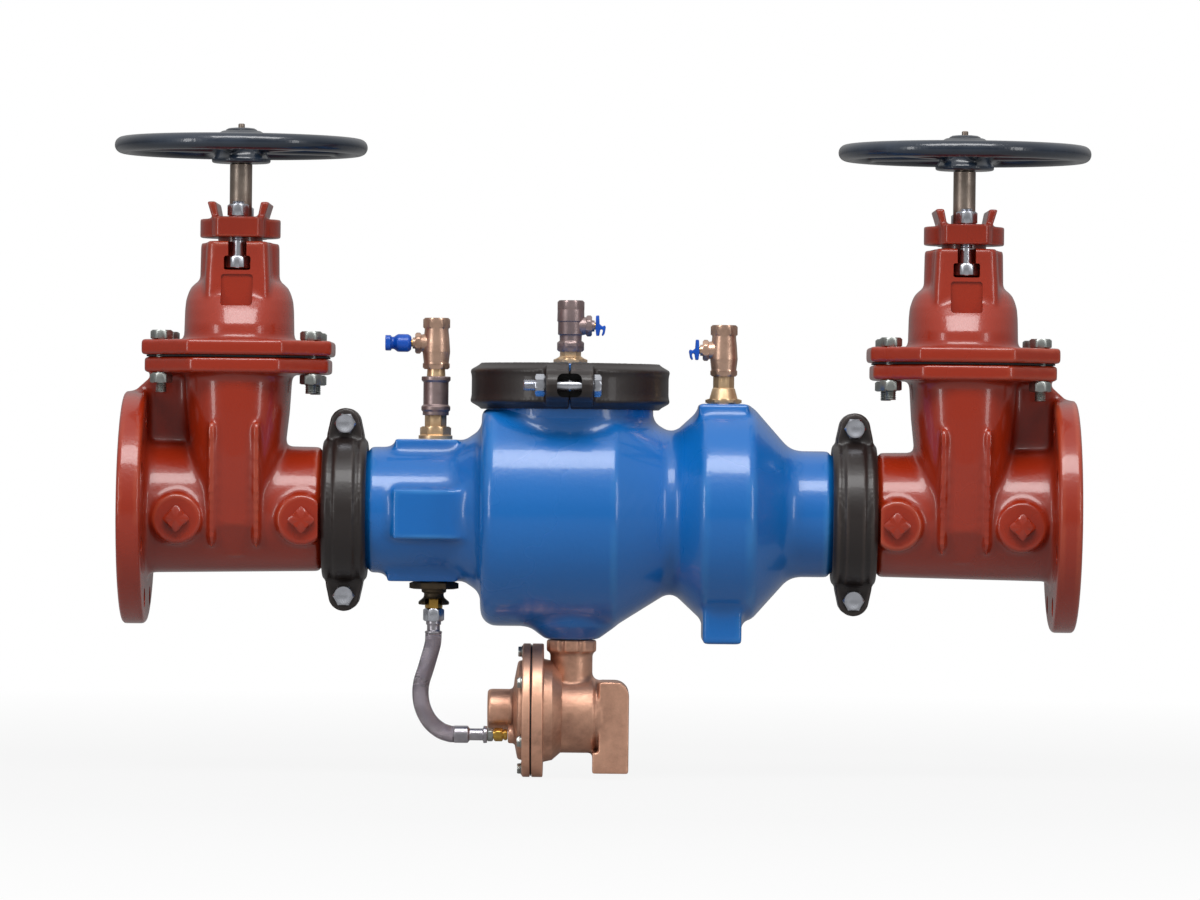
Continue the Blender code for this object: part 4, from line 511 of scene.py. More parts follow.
def noise(field, spot, scale, detail=2.0, roughness=0.5):
    sockets = {"Vector": spot, "Scale": scale, "Detail": detail, "Roughness": roughness}
    return field.node("ShaderNodeTexNoise", None, sockets)


def coated(name, colour, worn, roughness, peel, coat):
    """Paint on a casting: mottled, darkened in corners as painted shade and rougher there, lighter where
    worn thin on edges, with an orange-peel skin.
    """
    paint, field, spot = new_paint(name)
    hollow = kept_in(field, "hollow")
    broad = noise(field, spot, 9.0, 3.0)
    # Painted shade: the colour darkens into the corners of the casting, over a random mottle.
    mottle_and_corner_shade = broad.between(0.3, 0.75) * 0.22 + hollow.between(0.1, 1.0) * 0.45
    thin = hollow.between(-0.35, -1.0) * broad.between(0.45, 0.7) * 0.35
    tone = thin.mixed(mottle_and_corner_shade.mixed(colour, shade(colour, 0.62)), worn)
    dimples = noise(field, spot, 260.0) * 0.55 + noise(field, spot, 900.0) * 0.2
    relief = dimples + noise(field, spot, 70.0, 3.0, 0.6) * 0.9
    rough = broad * 0.1 + hollow.between(0.0, 1.0) * 0.15 + (roughness - 0.05)
    others = {"Coat Weight": coat, "Coat Roughness": 0.07}
    return finished(paint, field, tone, rough, relief, peel, 1.0, others)


blue_epoxy = coated("blue_epoxy", rgb(10, 108, 190), rgb(70, 160, 225), 0.28, 0.00022, 0.5)

inlet_joint = (extent("inlet_valve_body")[1].x + extent("main_body")[0].x) / 2
outlet_joint = (extent("main_body")[1].x + extent("outlet_valve_body")[0].x) / 2
body_length = outlet_joint - inlet_joint

PIPE_END_GAP = 3.2
SPIGOT_RADIUS = 57.15
GROOVE_SETBACK = 12.7
GROOVE_WIDTH = 8.7
GROOVE_DEPTH = 2.1
WATERWAY_RADIUS = 51.0
COUPLING_HALF_WIDTH = 22.0


def grooved_end(end, neck_radius, neck_end):
    """(x, radius) pairs from a pipe's grooved end back to its cast neck."""
    groove = end - GROOVE_SETBACK
    bottom = SPIGOT_RADIUS - GROOVE_DEPTH
    return [
        (end, SPIGOT_RADIUS, 1.5), (groove, SPIGOT_RADIUS, 0.6), (groove, bottom, 0.6),
        (groove - GROOVE_WIDTH, bottom, 0.6), (groove - GROOVE_WIDTH, SPIGOT_RADIUS, 0.6),
        (neck_end, SPIGOT_RADIUS, 0.6), (neck_end, neck_radius, 2.0),
    ]


BODY_NECK_RADIUS = 62.0
BODY_WALL = 9.0
FLARE = 106.0
CHAMBER = (134.0, 265.0, 113.0)
WAIST = (317.0, 324.0, 80.0)
BULB = (352.0, 399.0, 106.0)
OUTLET_NECK = 438.0
PORT_X = middle("access_cover").x - inlet_joint
PORT_LIP_RADIUS = extent("access_cover")[1].y
PORT_JOINT = middle("cover_gasket").z
CLAMP_HALF_WIDTH = (extent("cover_clamp_left_half")[1].z - extent("cover_clamp_left_half")[0].z) / 2
TAP_PAD = (48.0, 112.0, 25.0, 69.8)
PLATE_PAD = (48.0, 122.0, 67.5, -28.0, 21.0)
BULB_PAD = (25.0, 45.0, 107.5)
FOOT = (19.0, 55.0)
INLET_TAP_X = middle("inlet_cock_riser").x - inlet_joint
BUSHING_CORNER = 29.0 / math.sqrt(3)
OUTLET_TAP_X = extent("outlet_cock_body")[1].x - BUSHING_CORNER - inlet_joint
RELIEF_NECK_X = inlet_joint + 224.0
BODY_GRAIN = 2.25


def body_skin():
    """The outer skin, turned about the pipe's axis from its outlet back to its inlet."""
    neck_end = body_length - COUPLING_HALF_WIDTH - 2
    end = body_length - PIPE_END_GAP / 2
    outlet = grooved_end(end, BODY_NECK_RADIUS, neck_end)
    inlet = [(body_length - x, *rest) for x, *rest in reversed(outlet)]
    start, stop, radius = CHAMBER
    waist_start, waist_stop, waist_radius = WAIST
    bulb_start, bulb_stop, bulb_radius = BULB
    corners = [(end, 0.0), *outlet]
    corners += [
        (OUTLET_NECK, BODY_NECK_RADIUS, 22.0), (bulb_stop, bulb_radius, 14.0),
        (bulb_start, bulb_radius, 10.0), (waist_stop, waist_radius, 16.0),
        (waist_start, waist_radius, 16.0), (stop, radius, 9.0), (start, radius, 17.0),
        (start, BODY_NECK_RADIUS + 19, 12.0), (FLARE, BODY_NECK_RADIUS, 14.0),
    ]
    corners += [*inlet, (PIPE_END_GAP / 2, 0.0)]
    return turned(eased(corners, steps=8), at(inlet_joint) @ ALONG, 160)


def body_core():
    """The waterway that the castings' sand core leaves."""
    start, stop, radius = CHAMBER
    waist_start, waist_stop, waist_radius = WAIST
    bulb_start, bulb_stop, bulb_radius = BULB
    wall = BODY_WALL
    corners = [
        (body_length + 10, 0.0), (body_length + 10, WATERWAY_RADIUS),
        (OUTLET_NECK - 4, WATERWAY_RADIUS, 20.0), (bulb_stop - 2, bulb_radius - wall, 12.0),
        (bulb_start + 3, bulb_radius - wall, 12.0), (waist_stop + 2, waist_radius - wall, 8.0),
        (waist_start - 5, waist_radius - wall, 8.0), (stop - 2, radius - wall, 9.0),
        (start + wall, radius - wall, 17.0), (start + wall, WATERWAY_RADIUS, 6.0),
        (-10.0, WATERWAY_RADIUS), (-10.0, 0.0),
    ]
    return turned(eased(corners, steps=6), at(inlet_joint) @ ALONG, 96)


def body_casting():
    joint_gap = PIPE_END_GAP / 2
    port = at(inlet_joint + PORT_X)
    skin = body_skin()
    shoulder = PORT_JOINT - CLAMP_HALF_WIDTH - 1.5
    cut(skin, rod(103.0, shoulder, 200.0, port, 128))
    neck = PORT_LIP_RADIUS - GROOVE_DEPTH
    port_neck = rod(neck, 30.0, shoulder + 3, port, 128)
    relief_foot = extent("relief_body")[1].z + 0.3
    boss_shape = [(-80.0, 0), (-80.0, 60), (-112.0, 44, 10.0), (relief_foot, 25.5), (relief_foot, 0)]
    boss = turned(eased(boss_shape), at(RELIEF_NECK_X), 96)
    start, stop, half, face = TAP_PAD
    x0, x1 = inlet_joint + start, inlet_joint + stop
    top_pad = slab((x0, -half, 20), (x1, half, face))
    low_pad = slab((x0 - 6, -half, -face), (x1, half, -20))
    start, stop, face, low, high = PLATE_PAD
    plate_pad = slab((inlet_joint + start, -face, low), (inlet_joint + stop, face, high))
    half_length, half_width, face = BULB_PAD
    x = inlet_joint + OUTLET_TAP_X
    bulb_pad = slab((x - half_length, -half_width, 60), (x + half_length, half_width, face))
    half_length, half_width = FOOT
    low = extent("main_body")[0].z
    foot = slab((x - half_length, -half_width, low), (x + half_length, half_width, -60))
    rough = gathered(skin, port_neck, boss, top_pad, low_pad, plate_pad, bulb_pad, foot)
    casting = cast(rough, BODY_GRAIN, 5, 24)
    lip_foot = PORT_JOINT - joint_gap - GROOVE_SETBACK
    port_top = PORT_JOINT - joint_gap
    lip_shape = [
        (port_top, neck - 10, 0.8), (port_top, PORT_LIP_RADIUS, 1.0), (lip_foot, PORT_LIP_RADIUS, 0.8),
        (lip_foot, neck, 0.8), (shoulder - 5, neck, 0.5), (shoulder - 5, neck - 10, 0.5),
    ]
    lip = turned(eased(lip_shape, closed=True), port, 128, ring=True)
    welded(casting, lip)
    port_core = rod(neck - 8, 20, port_top + 9, port, 96)
    relief_core = rod(17, relief_foot - 5, -60, at(RELIEF_NECK_X))
    tap_x = at(inlet_joint + INLET_TAP_X)
    face = TAP_PAD[3] + 5
    tap = rod(8, -face, face, tap_x, 48)
    outlet_tap = rod(8, 60, 120, at(inlet_joint + OUTLET_TAP_X), 48)
    return cut(casting, body_core(), port_core, relief_core, tap, outlet_tap)


keep(body_casting(), "main_body_casting", "assembly", "blue_epoxy", blue_epoxy, "main_body")


# Line couplings
# Two ductile iron halves in dark brown-black enamel round a rubber gasket, drawn together by
# a zinc-plated bolt above and one below. A raised pad runs along the crest of each half.
GASKET_ROOM = 9.6
KEY_CLEARANCE = 0.6
SPLIT_GAP = 0.7
LUG_RADIUS = 15.5
BOLT_HOLE = 6.5
CASTING_GRAIN = 1.5
coupling_low, coupling_high = extent("inlet_coupling_front_half")
COUPLING_CREST = -coupling_low.y
COUPLING_BOLT_CIRCLE = coupling_high.z - LUG_RADIUS
COUPLING_LUG = 18.0
COUPLING_LUG_FACE = 20.8

black_enamel = coated("black_enamel", rgb(34, 26, 24), rgb(88, 74, 68), 0.42, 0.00016, 0.15)


def housing_room(lip, half_width):
    """What stays free inside a coupling: the pipe ends, their grooves and the gasket."""
    key = lip - GROOVE_DEPTH + KEY_CLEARANCE
    inner = PIPE_END_GAP / 2 + GROOVE_SETBACK + KEY_CLEARANCE
    upper = [(half_width + 5, 0.0), (half_width + 5, key), (inner, key), (inner, lip + GASKET_ROOM)]
    return turned(upper + [(-height, radius) for height, radius in reversed(upper)], None, 128)


def housing_half(lip, half_width, band, lug, lug_face, bolt_circle, window=None):
    """The half on the -Y side, its ring about Z and a bolt lug at each end on X."""
    lower = [(-height, *rest) for height, *rest in reversed(band)]
    core = lip + 4.0
    section = [(half_width, core), *band, *lower, (-half_width, core)]
    ring = turned(eased(section, 1.2), None, 128, ring=True)
    cut(ring, slab((-200, -SPLIT_GAP / 2, -60), (200, 200, 60)))
    lugs = []
    for side in (-1, 1):
        tip = []
        for step in range(9):
            angle = math.radians(90 - side * 180 * step / 8)
            tip.append((side * bolt_circle + LUG_RADIUS * math.cos(angle), LUG_RADIUS * math.sin(angle)))
        root, bend = side * (lip + 2.0), side * (lip + 16.0)
        outline = [(root, lug), (bend, lug), *tip, (bend, -lug), (root, -lug)]
        if side < 0:
            outline.reverse()
        lugs.append(extruded(outline, SPLIT_GAP / 2, lug_face, TOWARDS_VIEWER))
    rough = gathered(ring, *lugs)
    half = cast(rough, CASTING_GRAIN, 3, 14)
    cut(half, housing_room(lip, half_width), slab((-200, -SPLIT_GAP / 2, -60), (200, 60, 60)))
    for side in (-1, 1):
        cut(half, rod(BOLT_HOLE, -9, lug_face + 9, at(side * bolt_circle) @ TOWARDS_VIEWER, 32))
        if window:
            tall, wide = window
            frame_line = [(-tall, -wide), (tall, -wide), (tall, wide), (-tall, wide)]
            low, high = sorted((side * (lip + 13.0), side * 200.0))
            cut(half, extruded(eased(frame_line, 6.0, closed=True), low, high, ALONG))
    return half


def half_section(half_width, crest, steps):
    """Half of a section from its side face inwards: each step's run in, drop and corner radius."""
    return [(half_width - run, crest - drop, corner) for run, drop, corner in steps]


# From the side face to the middle of the crest's pad.
COUPLING_BAND = half_section(COUPLING_HALF_WIDTH, COUPLING_CREST, [
    (0.0, 6.0, 3.5), (5.0, 1.4, 2.0), (8.2, 1.4, 0.8), (9.2, 3.4, 0.8), (11.0, 3.4, 0.8), (12.2, 0.0, 1.0),
])
for name, joint in (("inlet", inlet_joint), ("outlet", outlet_joint)):
    place = at(joint) @ ALONG
    half = housing_half(
        SPIGOT_RADIUS, COUPLING_HALF_WIDTH, COUPLING_BAND, COUPLING_LUG, COUPLING_LUG_FACE,
        COUPLING_BOLT_CIRCLE,
    )
    rear = twin(half, place @ Matrix.Rotation(math.pi, 4, "Z"))
    half.data.transform(place)
    for obj, label in ((half, "front_half"), (rear, "rear_half")):
        node = f"{name}_coupling_{label}"
        keep(obj, f"{node}_casting", "assembly", "black_enamel", black_enamel, node)


# Fasteners
# Hexagon bolts and nuts in bright zinc plate over steel: forged heads with a chamfered rim and
# a shallow dish, and rolled threads where the shank stands out of its nut.
def zinc(name, colour, roughness):
    """Zinc plate: cloudy, with fine scratches and a duller bloom in patches."""
    paint, field, spot = new_paint(name)
    cloud = noise(field, spot, 60.0, 4.0, 0.6)
    tone = (cloud.between(0.35, 0.75) * 0.7).mixed(colour, shade(colour, 0.6))
    relief = cloud * 0.4 + noise(field, spot, 700.0) * 0.5
    rough = cloud * 0.25 + (roughness - 0.12)
    return finished(paint, field, tone, rough, relief, 0.0001, 0.6, {"Metallic": 1.0})


zinc_plate = zinc("zinc_plate", (0.66, 0.68, 0.74, 1.0), 0.28)
dull_zinc = zinc("dull_zinc", (0.4, 0.42, 0.4, 1.0), 0.4)

THREAD_PITCH = 1.75
HEX_SIDES = 48
LUG_BOLT_FLATS = 18.7
LUG_BOLT_NUT = 10.0


def hexagon(flats, low, high, dish=0.0, place=None, rim=0.96, slopes=(0.8, 1.5)):
    """A hexagon with a flat towards the viewer, its corners sloped off at foot and top."""
    point = flats / math.sqrt(3)
    rim *= flats / 2
    top = [(high, 0), (high, rim)]
    if dish:
        top = [(high - dish, 0), (high - dish, rim * 0.55), (high, rim * 0.8), (high, rim)]
    side = [(high - slopes[1], point), (low + slopes[0], point), (low, rim), (low, 0)]
    turn = Matrix.Rotation(math.pi / 6, 4, "Z")
    return turned(top + side, turn if place is None else place @ turn, HEX_SIDES, flats=flats)


def shank(radius, low, high, place=None, thread_foot=None, thread_top=None):
    """A bolt's shank, with a rolled thread between two heights."""
    profile = [(high, 0), (high, radius * 0.75), (high - 1.0, radius)]
    if thread_foot is not None:
        height = min(high - 1.2, thread_top)
        while height > thread_foot:
            profile.append((height, radius))
            profile.append((height - THREAD_PITCH / 2, radius * 0.86))
            height -= THREAD_PITCH
    profile += [(low + 1.0, radius), (low, radius * 0.75), (low, 0)]
    return turned(profile, place, 32)


def lug_bolt(face, head, tip, place):
    """Head on one lug, shank through both and nut on the other, along the place's own Z."""
    head_solid = hexagon(LUG_BOLT_FLATS, face, face + head, 1.0, place)
    nut_solid = hexagon(LUG_BOLT_FLATS, -face - LUG_BOLT_NUT, -face, 0.0, place)
    end = -face - LUG_BOLT_NUT - tip
    bar = shank(5.6, end, face + 1.0, place, end + 1, -face + 6)
    return gathered(head_solid, nut_solid, bar)


for name, joint in (("inlet", inlet_joint), ("outlet", outlet_joint)):
    for label, side in (("upper", 1), ("lower", -1)):
        node = f"{name}_coupling_{label}_bolt"
        head_low, head_high = extent(node)
        face = COUPLING_LUG_FACE + 0.3
        head = -head_low.y - face
        lie = at(joint, 0, side * COUPLING_BOLT_CIRCLE) @ TOWARDS_VIEWER
        bolt = lug_bolt(face, head, head_high.y - face - LUG_BOLT_NUT, lie)
        keep(bolt, f"{node}_and_nut", "assembly", "zinc_plate", zinc_plate, node)


# Access port
# A dished cover in the body's blue, held down by a two-piece clamp like the line couplings but
# wider. Its lugs are webbed, with an arched window through which the bolt's shank shows.
CLAMP_LUG_FACE = 23.0
CLAMP_LUG = 20.0
CLAMP_WINDOW = (11.5, 12.0)
CLAMP_CREST = inlet_joint + PORT_X - extent("cover_clamp_left_half")[0].x
CLAMP_BOLT_HEAD = 7.5
CLAMP_BOLT_TIP = 11.5
CLAMP_BOLT_CIRCLE = PORT_LIP_RADIUS + 28.0
port_centre = at(inlet_joint + PORT_X, 0, PORT_JOINT)

cover_low, cover_high = extent("access_cover")
neck = PORT_LIP_RADIUS - GROOVE_DEPTH
cover_top = cover_high.z - PORT_JOINT
cover_foot = cover_low.z - PORT_JOINT
groove = PIPE_END_GAP / 2 + GROOVE_SETBACK
cover_shape = [
    (cover_top, 0.0, 0), (cover_top, 17.0, 1.2), (cover_top - 3, 19.5, 1.5), (cover_top - 3.4, 60.0, 8.0),
    (cover_top - 1.0, 74.0, 4.0), (cover_top - 1.0, neck, 1.5), (groove, neck, 0.6),
    (groove, PORT_LIP_RADIUS, 0.8), (cover_foot, PORT_LIP_RADIUS, 0.8),
    (cover_foot, PORT_LIP_RADIUS - 11, 0.8), (cover_top - 12, PORT_LIP_RADIUS - 11, 3.0),
    (cover_top - 12, 0.0, 0),
]
cover = turned(eased(cover_shape), port_centre, 128)
cut(cover, rod(8, -30, cover_top + 5, port_centre, 32))
keep(cover, "access_cover_casting", "assembly", "blue_epoxy", blue_epoxy, "access_cover")


# Bevelled, with a fine edge where the bevel starts.
CLAMP_BAND = half_section(CLAMP_HALF_WIDTH, CLAMP_CREST, [
    (0.0, 14.0, 2.5), (7.5, 0.6, 1.6), (10.5, 0.0, 0.8), (11.5, 1.4, 0.8),
])
left = housing_half(
    PORT_LIP_RADIUS, CLAMP_HALF_WIDTH, CLAMP_BAND, CLAMP_LUG, CLAMP_LUG_FACE, CLAMP_BOLT_CIRCLE,
    CLAMP_WINDOW,
)
left.data.transform(port_centre @ Matrix.Rotation(-math.pi / 2, 4, "Z"))
centre = at(inlet_joint + PORT_X)
right = twin(left, centre @ Matrix.Rotation(math.pi, 4, "Z") @ centre.inverted())
for obj, label in ((left, "left_half"), (right, "right_half")):
    node = f"cover_clamp_{label}"
    keep(obj, f"{node}_casting", "assembly", "black_enamel", black_enamel, node)

for label, side in (("front", -1), ("rear", 1)):
    node = f"cover_clamp_{label}_bolt"
    middle_x = inlet_joint + PORT_X
    face = CLAMP_LUG_FACE + 0.3
    head = min(extent(node)[1].x - middle_x - face, CLAMP_BOLT_HEAD)
    lie = at(middle_x, side * CLAMP_BOLT_CIRCLE, PORT_JOINT) @ ALONG
    bolt = lug_bolt(face, head, CLAMP_BOLT_TIP, lie)
    keep(bolt, f"{node}_and_nut", "assembly", "zinc_plate", zinc_plate, node)


# Gate valve castings
# The outlet valve is the inlet valve turned half round. Body, bonnet and gland are grey iron,
# sand cast and coated with a glossy red oxide enamel, darkened in the corners as painted shade.
STEM_X = middle("inlet_stem").x
OUTLET_STEM_X = middle("outlet_stem").x
VALVE_PLACES = {"inlet": at(STEM_X), "outlet": at(OUTLET_STEM_X) @ Matrix.Rotation(math.pi, 4, "Z")}
FLANGE_RADIUS = 114.3
FLANGE_THICKNESS = 23.8
FLANGE_FACE = -STEM_X
FLANGE_HOLES = (8, 95.25, 9.5)
VALVE_NECK_RADIUS = 61.0
JOINT_FROM_STEM = inlet_joint - STEM_X
BODY_TOP = extent("inlet_valve_body")[1].z
BODY_PLATE = (180.0, 176.0, 15.5)
BONNET_PLATE = (186.0, 182.0, 15.0)
PLATE_CORNER = (47.5, 42.0)
CHEST_SHAPE = [(-46, 29, 44), (-15, 37, 66), (18, 41, 72), (50, 45, 76), (95, 50, 78), (144, 53, 79)]
WEDGE_POCKET = (21.6, 55.5)
PLUG_PLACES = (-56.0, 66.0)
PLUG_BOSS = (25.0, 68.0)
PLUG_HEAD = (19.5, 76.0)
CHEST_RIB = (21.5, 3.2, -31.0, 76.0)
VALVE_GRAIN = 2.0

red_enamel = coated("red_enamel", rgb(158, 42, 14), rgb(200, 96, 64), 0.28, 0.00025, 0.5)


OVAL_POINTS = 96


def oval_ring(half_length, half_width, height, squareness=2.6):
    """A ring between an ellipse (2) and a rectangle, at one height."""
    points = []
    for i in range(OVAL_POINTS):
        angle = math.tau * i / OVAL_POINTS
        across, along = math.cos(angle), math.sin(angle)
        x = math.copysign(abs(across) ** (2 / squareness), across) * half_length
        y = math.copysign(abs(along) ** (2 / squareness), along) * half_width
        points.append((x, y, height))
    return points


def octagon(length, width):
    """The bonnet joint's outline: a rectangle with its corners cut off."""
    x, y = length / 2, width / 2
    near_x, near_y = x - PLATE_CORNER[0], y - PLATE_CORNER[1]
    corners = [(near_x, -y), (x, -near_y), (x, near_y), (near_x, y)]
    return eased(corners + [(-cx, -cy) for cx, cy in corners], 5.0, closed=True)


def chest():
    rings = []
    for (z0, a0, b0), (z1, a1, b1) in zip(CHEST_SHAPE, CHEST_SHAPE[1:]):
        for step in range(4):
            t = step / 4
            rings.append(oval_ring(a0 + (a1 - a0) * t, b0 + (b1 - b0) * t, z0 + (z1 - z0) * t))
    z, a, b = CHEST_SHAPE[-1]
    return lofted([*rings, oval_ring(a, b, z)])


def valve_casting():
    """The gate valve's body, in its own frame: stem on Z, flange towards -X."""
    end = JOINT_FROM_STEM - PIPE_END_GAP / 2
    neck_end = JOINT_FROM_STEM - COUPLING_HALF_WIDTH - 2
    back = FLANGE_FACE + FLANGE_THICKNESS
    shape = [(end, 0.0), *grooved_end(end, VALVE_NECK_RADIUS, neck_end)]
    shape += [
        (back, VALVE_NECK_RADIUS + 3, 6.0), (back, FLANGE_RADIUS, 4.0), (FLANGE_FACE, FLANGE_RADIUS, 2.5),
        (FLANGE_FACE, 0.0),
    ]
    run = turned(eased(shape), ALONG, 160)
    length, width, thickness = BODY_PLATE
    lid = extruded(octagon(length, width), BODY_TOP - thickness, BODY_TOP)
    web = [
        (-30, BODY_TOP - 6), (-length / 2 + 4, BODY_TOP - 6), (-length / 2 + 4, BODY_TOP - thickness - 3),
        (back - 13, FLANGE_RADIUS + 1), (back - 13, 60), (-30, 50),
    ]
    gusset = extruded(web, -6.5, 6.5, TOWARDS_VIEWER)
    extra = [chest(), lid, gusset]
    for side in (-1, 1):
        facing = Matrix.Rotation(side * math.pi / 2, 4, "X")
        for x in PLUG_PLACES:
            radius, face = PLUG_BOSS
            shape = [(face, 0), (face, radius, 2.0), (34, radius + 1.0), (34, 0)]
            boss = turned(eased(shape), at(x, 0, -10) @ facing, 64)
            if x > 0:
                cut(boss, slab((neck_end, -200, -200), (200, 200, 200)))
            extra.append(boss)
        rib_x, rib_half, rib_foot, rib_top = CHEST_RIB
        for x in (-rib_x, rib_x):
            rings = []
            for z, half, y in (
                (rib_foot - 7, 0.8, 60), (rib_foot + 3, rib_half, 64.5), (20, rib_half, 75.0),
                (rib_top, rib_half, 81.0), (rib_top + 8, rib_half * 0.8, 79.5),
            ):
                x0, x1 = x - half, x + half
                rings.append([(x0, side * y, z), (x1, side * y, z), (x1, 0, z), (x0, 0, z)])
            extra.append(lofted(rings))
    body = cast(gathered(run, *extra), VALVE_GRAIN, 4, 18)
    cut(body, rod(WATERWAY_RADIUS, FLANGE_FACE - 20, end + 20, ALONG))
    cut(body, lofted([oval_ring(36, 66, 48), oval_ring(44, 70, BODY_TOP + 4)]))
    half, reach = WEDGE_POCKET
    seat = rod(reach, -half, half, ALONG, 96)
    cut(body, seat, slab((-half, -reach, 0), (half, reach, 60)))
    count, circle, radius = FLANGE_HOLES
    for i in range(count):
        angle = math.tau * (i + 0.5) / count
        hole = at(0, circle * math.cos(angle), circle * math.sin(angle)) @ ALONG
        cut(body, rod(radius, FLANGE_FACE - 9, back + 9, hole, 32))
    return body


def placed_twice(obj, label, slot, paint, *others, moves=None):
    """One piece of the inlet valve, and its copy in the outlet valve; moves names what it turns with."""
    copy = twin(obj, VALVE_PLACES["outlet"])
    obj.data.transform(VALVE_PLACES["inlet"])
    for name, piece in (("inlet", obj), ("outlet", copy)):
        nodes = [f"{name}_{other}" for other in others]
        carrier = f"{name}_{moves}" if moves else "assembly"
        keep(piece, f"{name}_{label}", carrier, slot, paint, *nodes)


placed_twice(valve_casting(), "valve_body_casting", "red_enamel", red_enamel, "valve_body")

bonnet_foot = extent("inlet_bonnet_gasket")[1].z + 0.3
TOWER = [(176.0, 35.0, 58.0), (extent("inlet_bonnet")[1].z, 30.5, 52.0)]
DOME_SHAPE = [
    (161, 56, 79), (166, 54, 77.5), (180, 53.7, 75), (194, 53.4, 68), (204, 52.5, 62), (212, 50, 56),
    (217, 47.4, 51.5), (222, 42, 46), (225, 36, 40),
]
STUFFING_BOX = (205.0, 22.5)
GLAND_BOLT_Y = 40.0
BONNET_GRAIN = 1.7


def bonnet_casting():
    """Plate, dome and tower, with the slots for the gland bolts and a sunk panel below each."""
    length, width, thickness = BONNET_PLATE
    top = bonnet_foot + thickness
    lid = extruded(octagon(length, width), bonnet_foot, top)
    dome = lofted([oval_ring(a, b, z, 2.3) for z, a, b in DOME_SHAPE])
    (foot_z, foot_x, foot_y), (top_z, top_x, top_y) = TOWER
    tower = lofted([oval_ring(foot_x, foot_y, foot_z, 9), oval_ring(top_x, top_y, top_z, 9)])
    barrel = turned([(top_z - 1.2, 0), (top_z - 1.2, 38.5), (foot_z, 40), (foot_z, 0)], None, 96)
    rough = gathered(lid, dome, tower, barrel)
    casting = cast(rough, BONNET_GRAIN, 4, 18)
    for side in (-1, 1):
        near, far = sorted((side * (GLAND_BOLT_Y - 8.5), side * 80))
        slot = eased([(-9, near), (9, near), (9, far), (-9, far)], 3.0, closed=True)
        cut(casting, extruded(slot, 246.0, top_z + 5))
        near, far = sorted((side * (GLAND_BOLT_Y - 12.5), side * 80))
        pocket = slab((-13, near, 233), (13, far, 247))
        cut(casting, chamfered(pocket, 2.0))
        arch = [(-15.5, 198), (15.5, 198), (15.5, 229), (-15.5, 229)]
        front = -side * (top_y + 0.2)
        low, high = sorted((front, -side * 80))
        cut(casting, extruded(eased(arch, 3.0, closed=True), low, high, TOWARDS_VIEWER))
    core = [(44.5, 69, bonnet_foot - 3), (43, 64, top + 14), (36, 40, 195)]
    cut(casting, lofted([oval_ring(*section, 2.3) for section in core]))
    box_floor, box_radius = STUFFING_BOX
    cut(casting, rod(box_radius, box_floor, top_z + 9, None, 64))
    cut(casting, rod(12.4, 180, box_floor + 9, None, 48))
    return casting


placed_twice(bonnet_casting(), "bonnet_casting", "red_enamel", red_enamel, "bonnet")


# Bonnet bolts
# Four hexagon bolts with nuts below hold each bonnet down, in a duller olive zinc than the
# bolts of the couplings. One bolt is made and set at the corners of a rectangle.
def new_tree(name, **inputs):
    """An empty geometry tree with named inputs, and the group's input node as a dictionary."""
    tree = bpy.data.node_groups.new(name, "GeometryNodeTree")
    kinds = {
        "object": "NodeSocketObject", "number": "NodeSocketFloat", "count": "NodeSocketInt",
        "finish": "NodeSocketMaterial",
    }
    for label, kind in inputs.items():
        tree.interface.new_socket(name=label, in_out="INPUT", socket_type=kinds[kind])
    tree.interface.new_socket(name="Geometry", in_out="OUTPUT", socket_type="NodeSocketGeometry")
    field = Field(tree)
    given = {label: field.node("NodeGroupInput", None, None, label) for label in inputs}
    return tree, field, given


def tree_end(field, geometry, finish):
    """Real meshes with their finish, as a tree's result."""
    real = field.node("GeometryNodeRealizeInstances", None, {"Geometry": geometry})
    painted = field.node("GeometryNodeSetMaterial", None, {"Geometry": real, "Material": finish})
    field.node("NodeGroupOutput", None, {"Geometry": painted})


def around(field, shape, count, centres, axis):
    """A shape's copies about an axis in even steps, the first turned by half a step."""
    turn = (field.node("GeometryNodeInputIndex") + 0.5) * math.tau / count
    rotation = field.node("FunctionNodeAxisAngleToRotation", None, {"Axis": axis, "Angle": turn})
    copied = field.node("GeometryNodeObjectInfo", None, {"Object": shape}, "Geometry")
    star = {"Points": centres, "Instance": copied, "Rotation": rotation}
    return field.node("GeometryNodeInstanceOnPoints", None, star)


def grown(tree, **values):
    """What a tree makes of the given values, as a plain object."""
    obj = blank(bmesh.new())
    modifier = obj.modifiers.new("grow", "NODES")
    modifier.node_group = tree
    for item in tree.interface.items_tree:
        if item.item_type == "SOCKET" and item.in_out == "INPUT":
            modifier[item.identifier] = values[item.name]
    return settled(obj)


rectangle_tree, field, given = new_tree(
    "four_at_corners", bolt="object", along="number", across="number", finish="finish"
)
corner_points = {"Size X": given["along"], "Size Y": given["across"], "Vertices X": 2, "Vertices Y": 2}
corners = field.node("GeometryNodeMeshGrid", None, corner_points)
shape = field.node("GeometryNodeObjectInfo", None, {"Object": given["bolt"]}, "Geometry")
on_corners = field.node("GeometryNodeInstanceOnPoints", None, {"Points": corners, "Instance": shape})
tree_end(field, on_corners, given["finish"])

BONNET_BOLT_SPACING = (146.0, 100.0)
bonnet_top = bonnet_foot + BONNET_PLATE[2]
plate_underside = BODY_TOP - BODY_PLATE[2]
bolt_head = hexagon(19.0, bonnet_top + 0.1, bonnet_top + 9.0, 0.8)
bolt_nut = hexagon(19.0, plate_underside - 10.3, plate_underside - 0.3)
bolt_foot = extent("inlet_bonnet")[0].z
bolt_bar = shank(5.5, bolt_foot, bonnet_top + 2, None, plate_underside - 19, plate_underside - 8)
one_bolt = gathered(bolt_head, bolt_nut, bolt_bar)
along, across = BONNET_BOLT_SPACING
bolts = grown(rectangle_tree, bolt=one_bolt, along=along, across=across, finish=dull_zinc)
bpy.data.objects.remove(one_bolt)
placed_twice(bolts, "bonnet_bolts", "zinc_plate", dull_zinc)


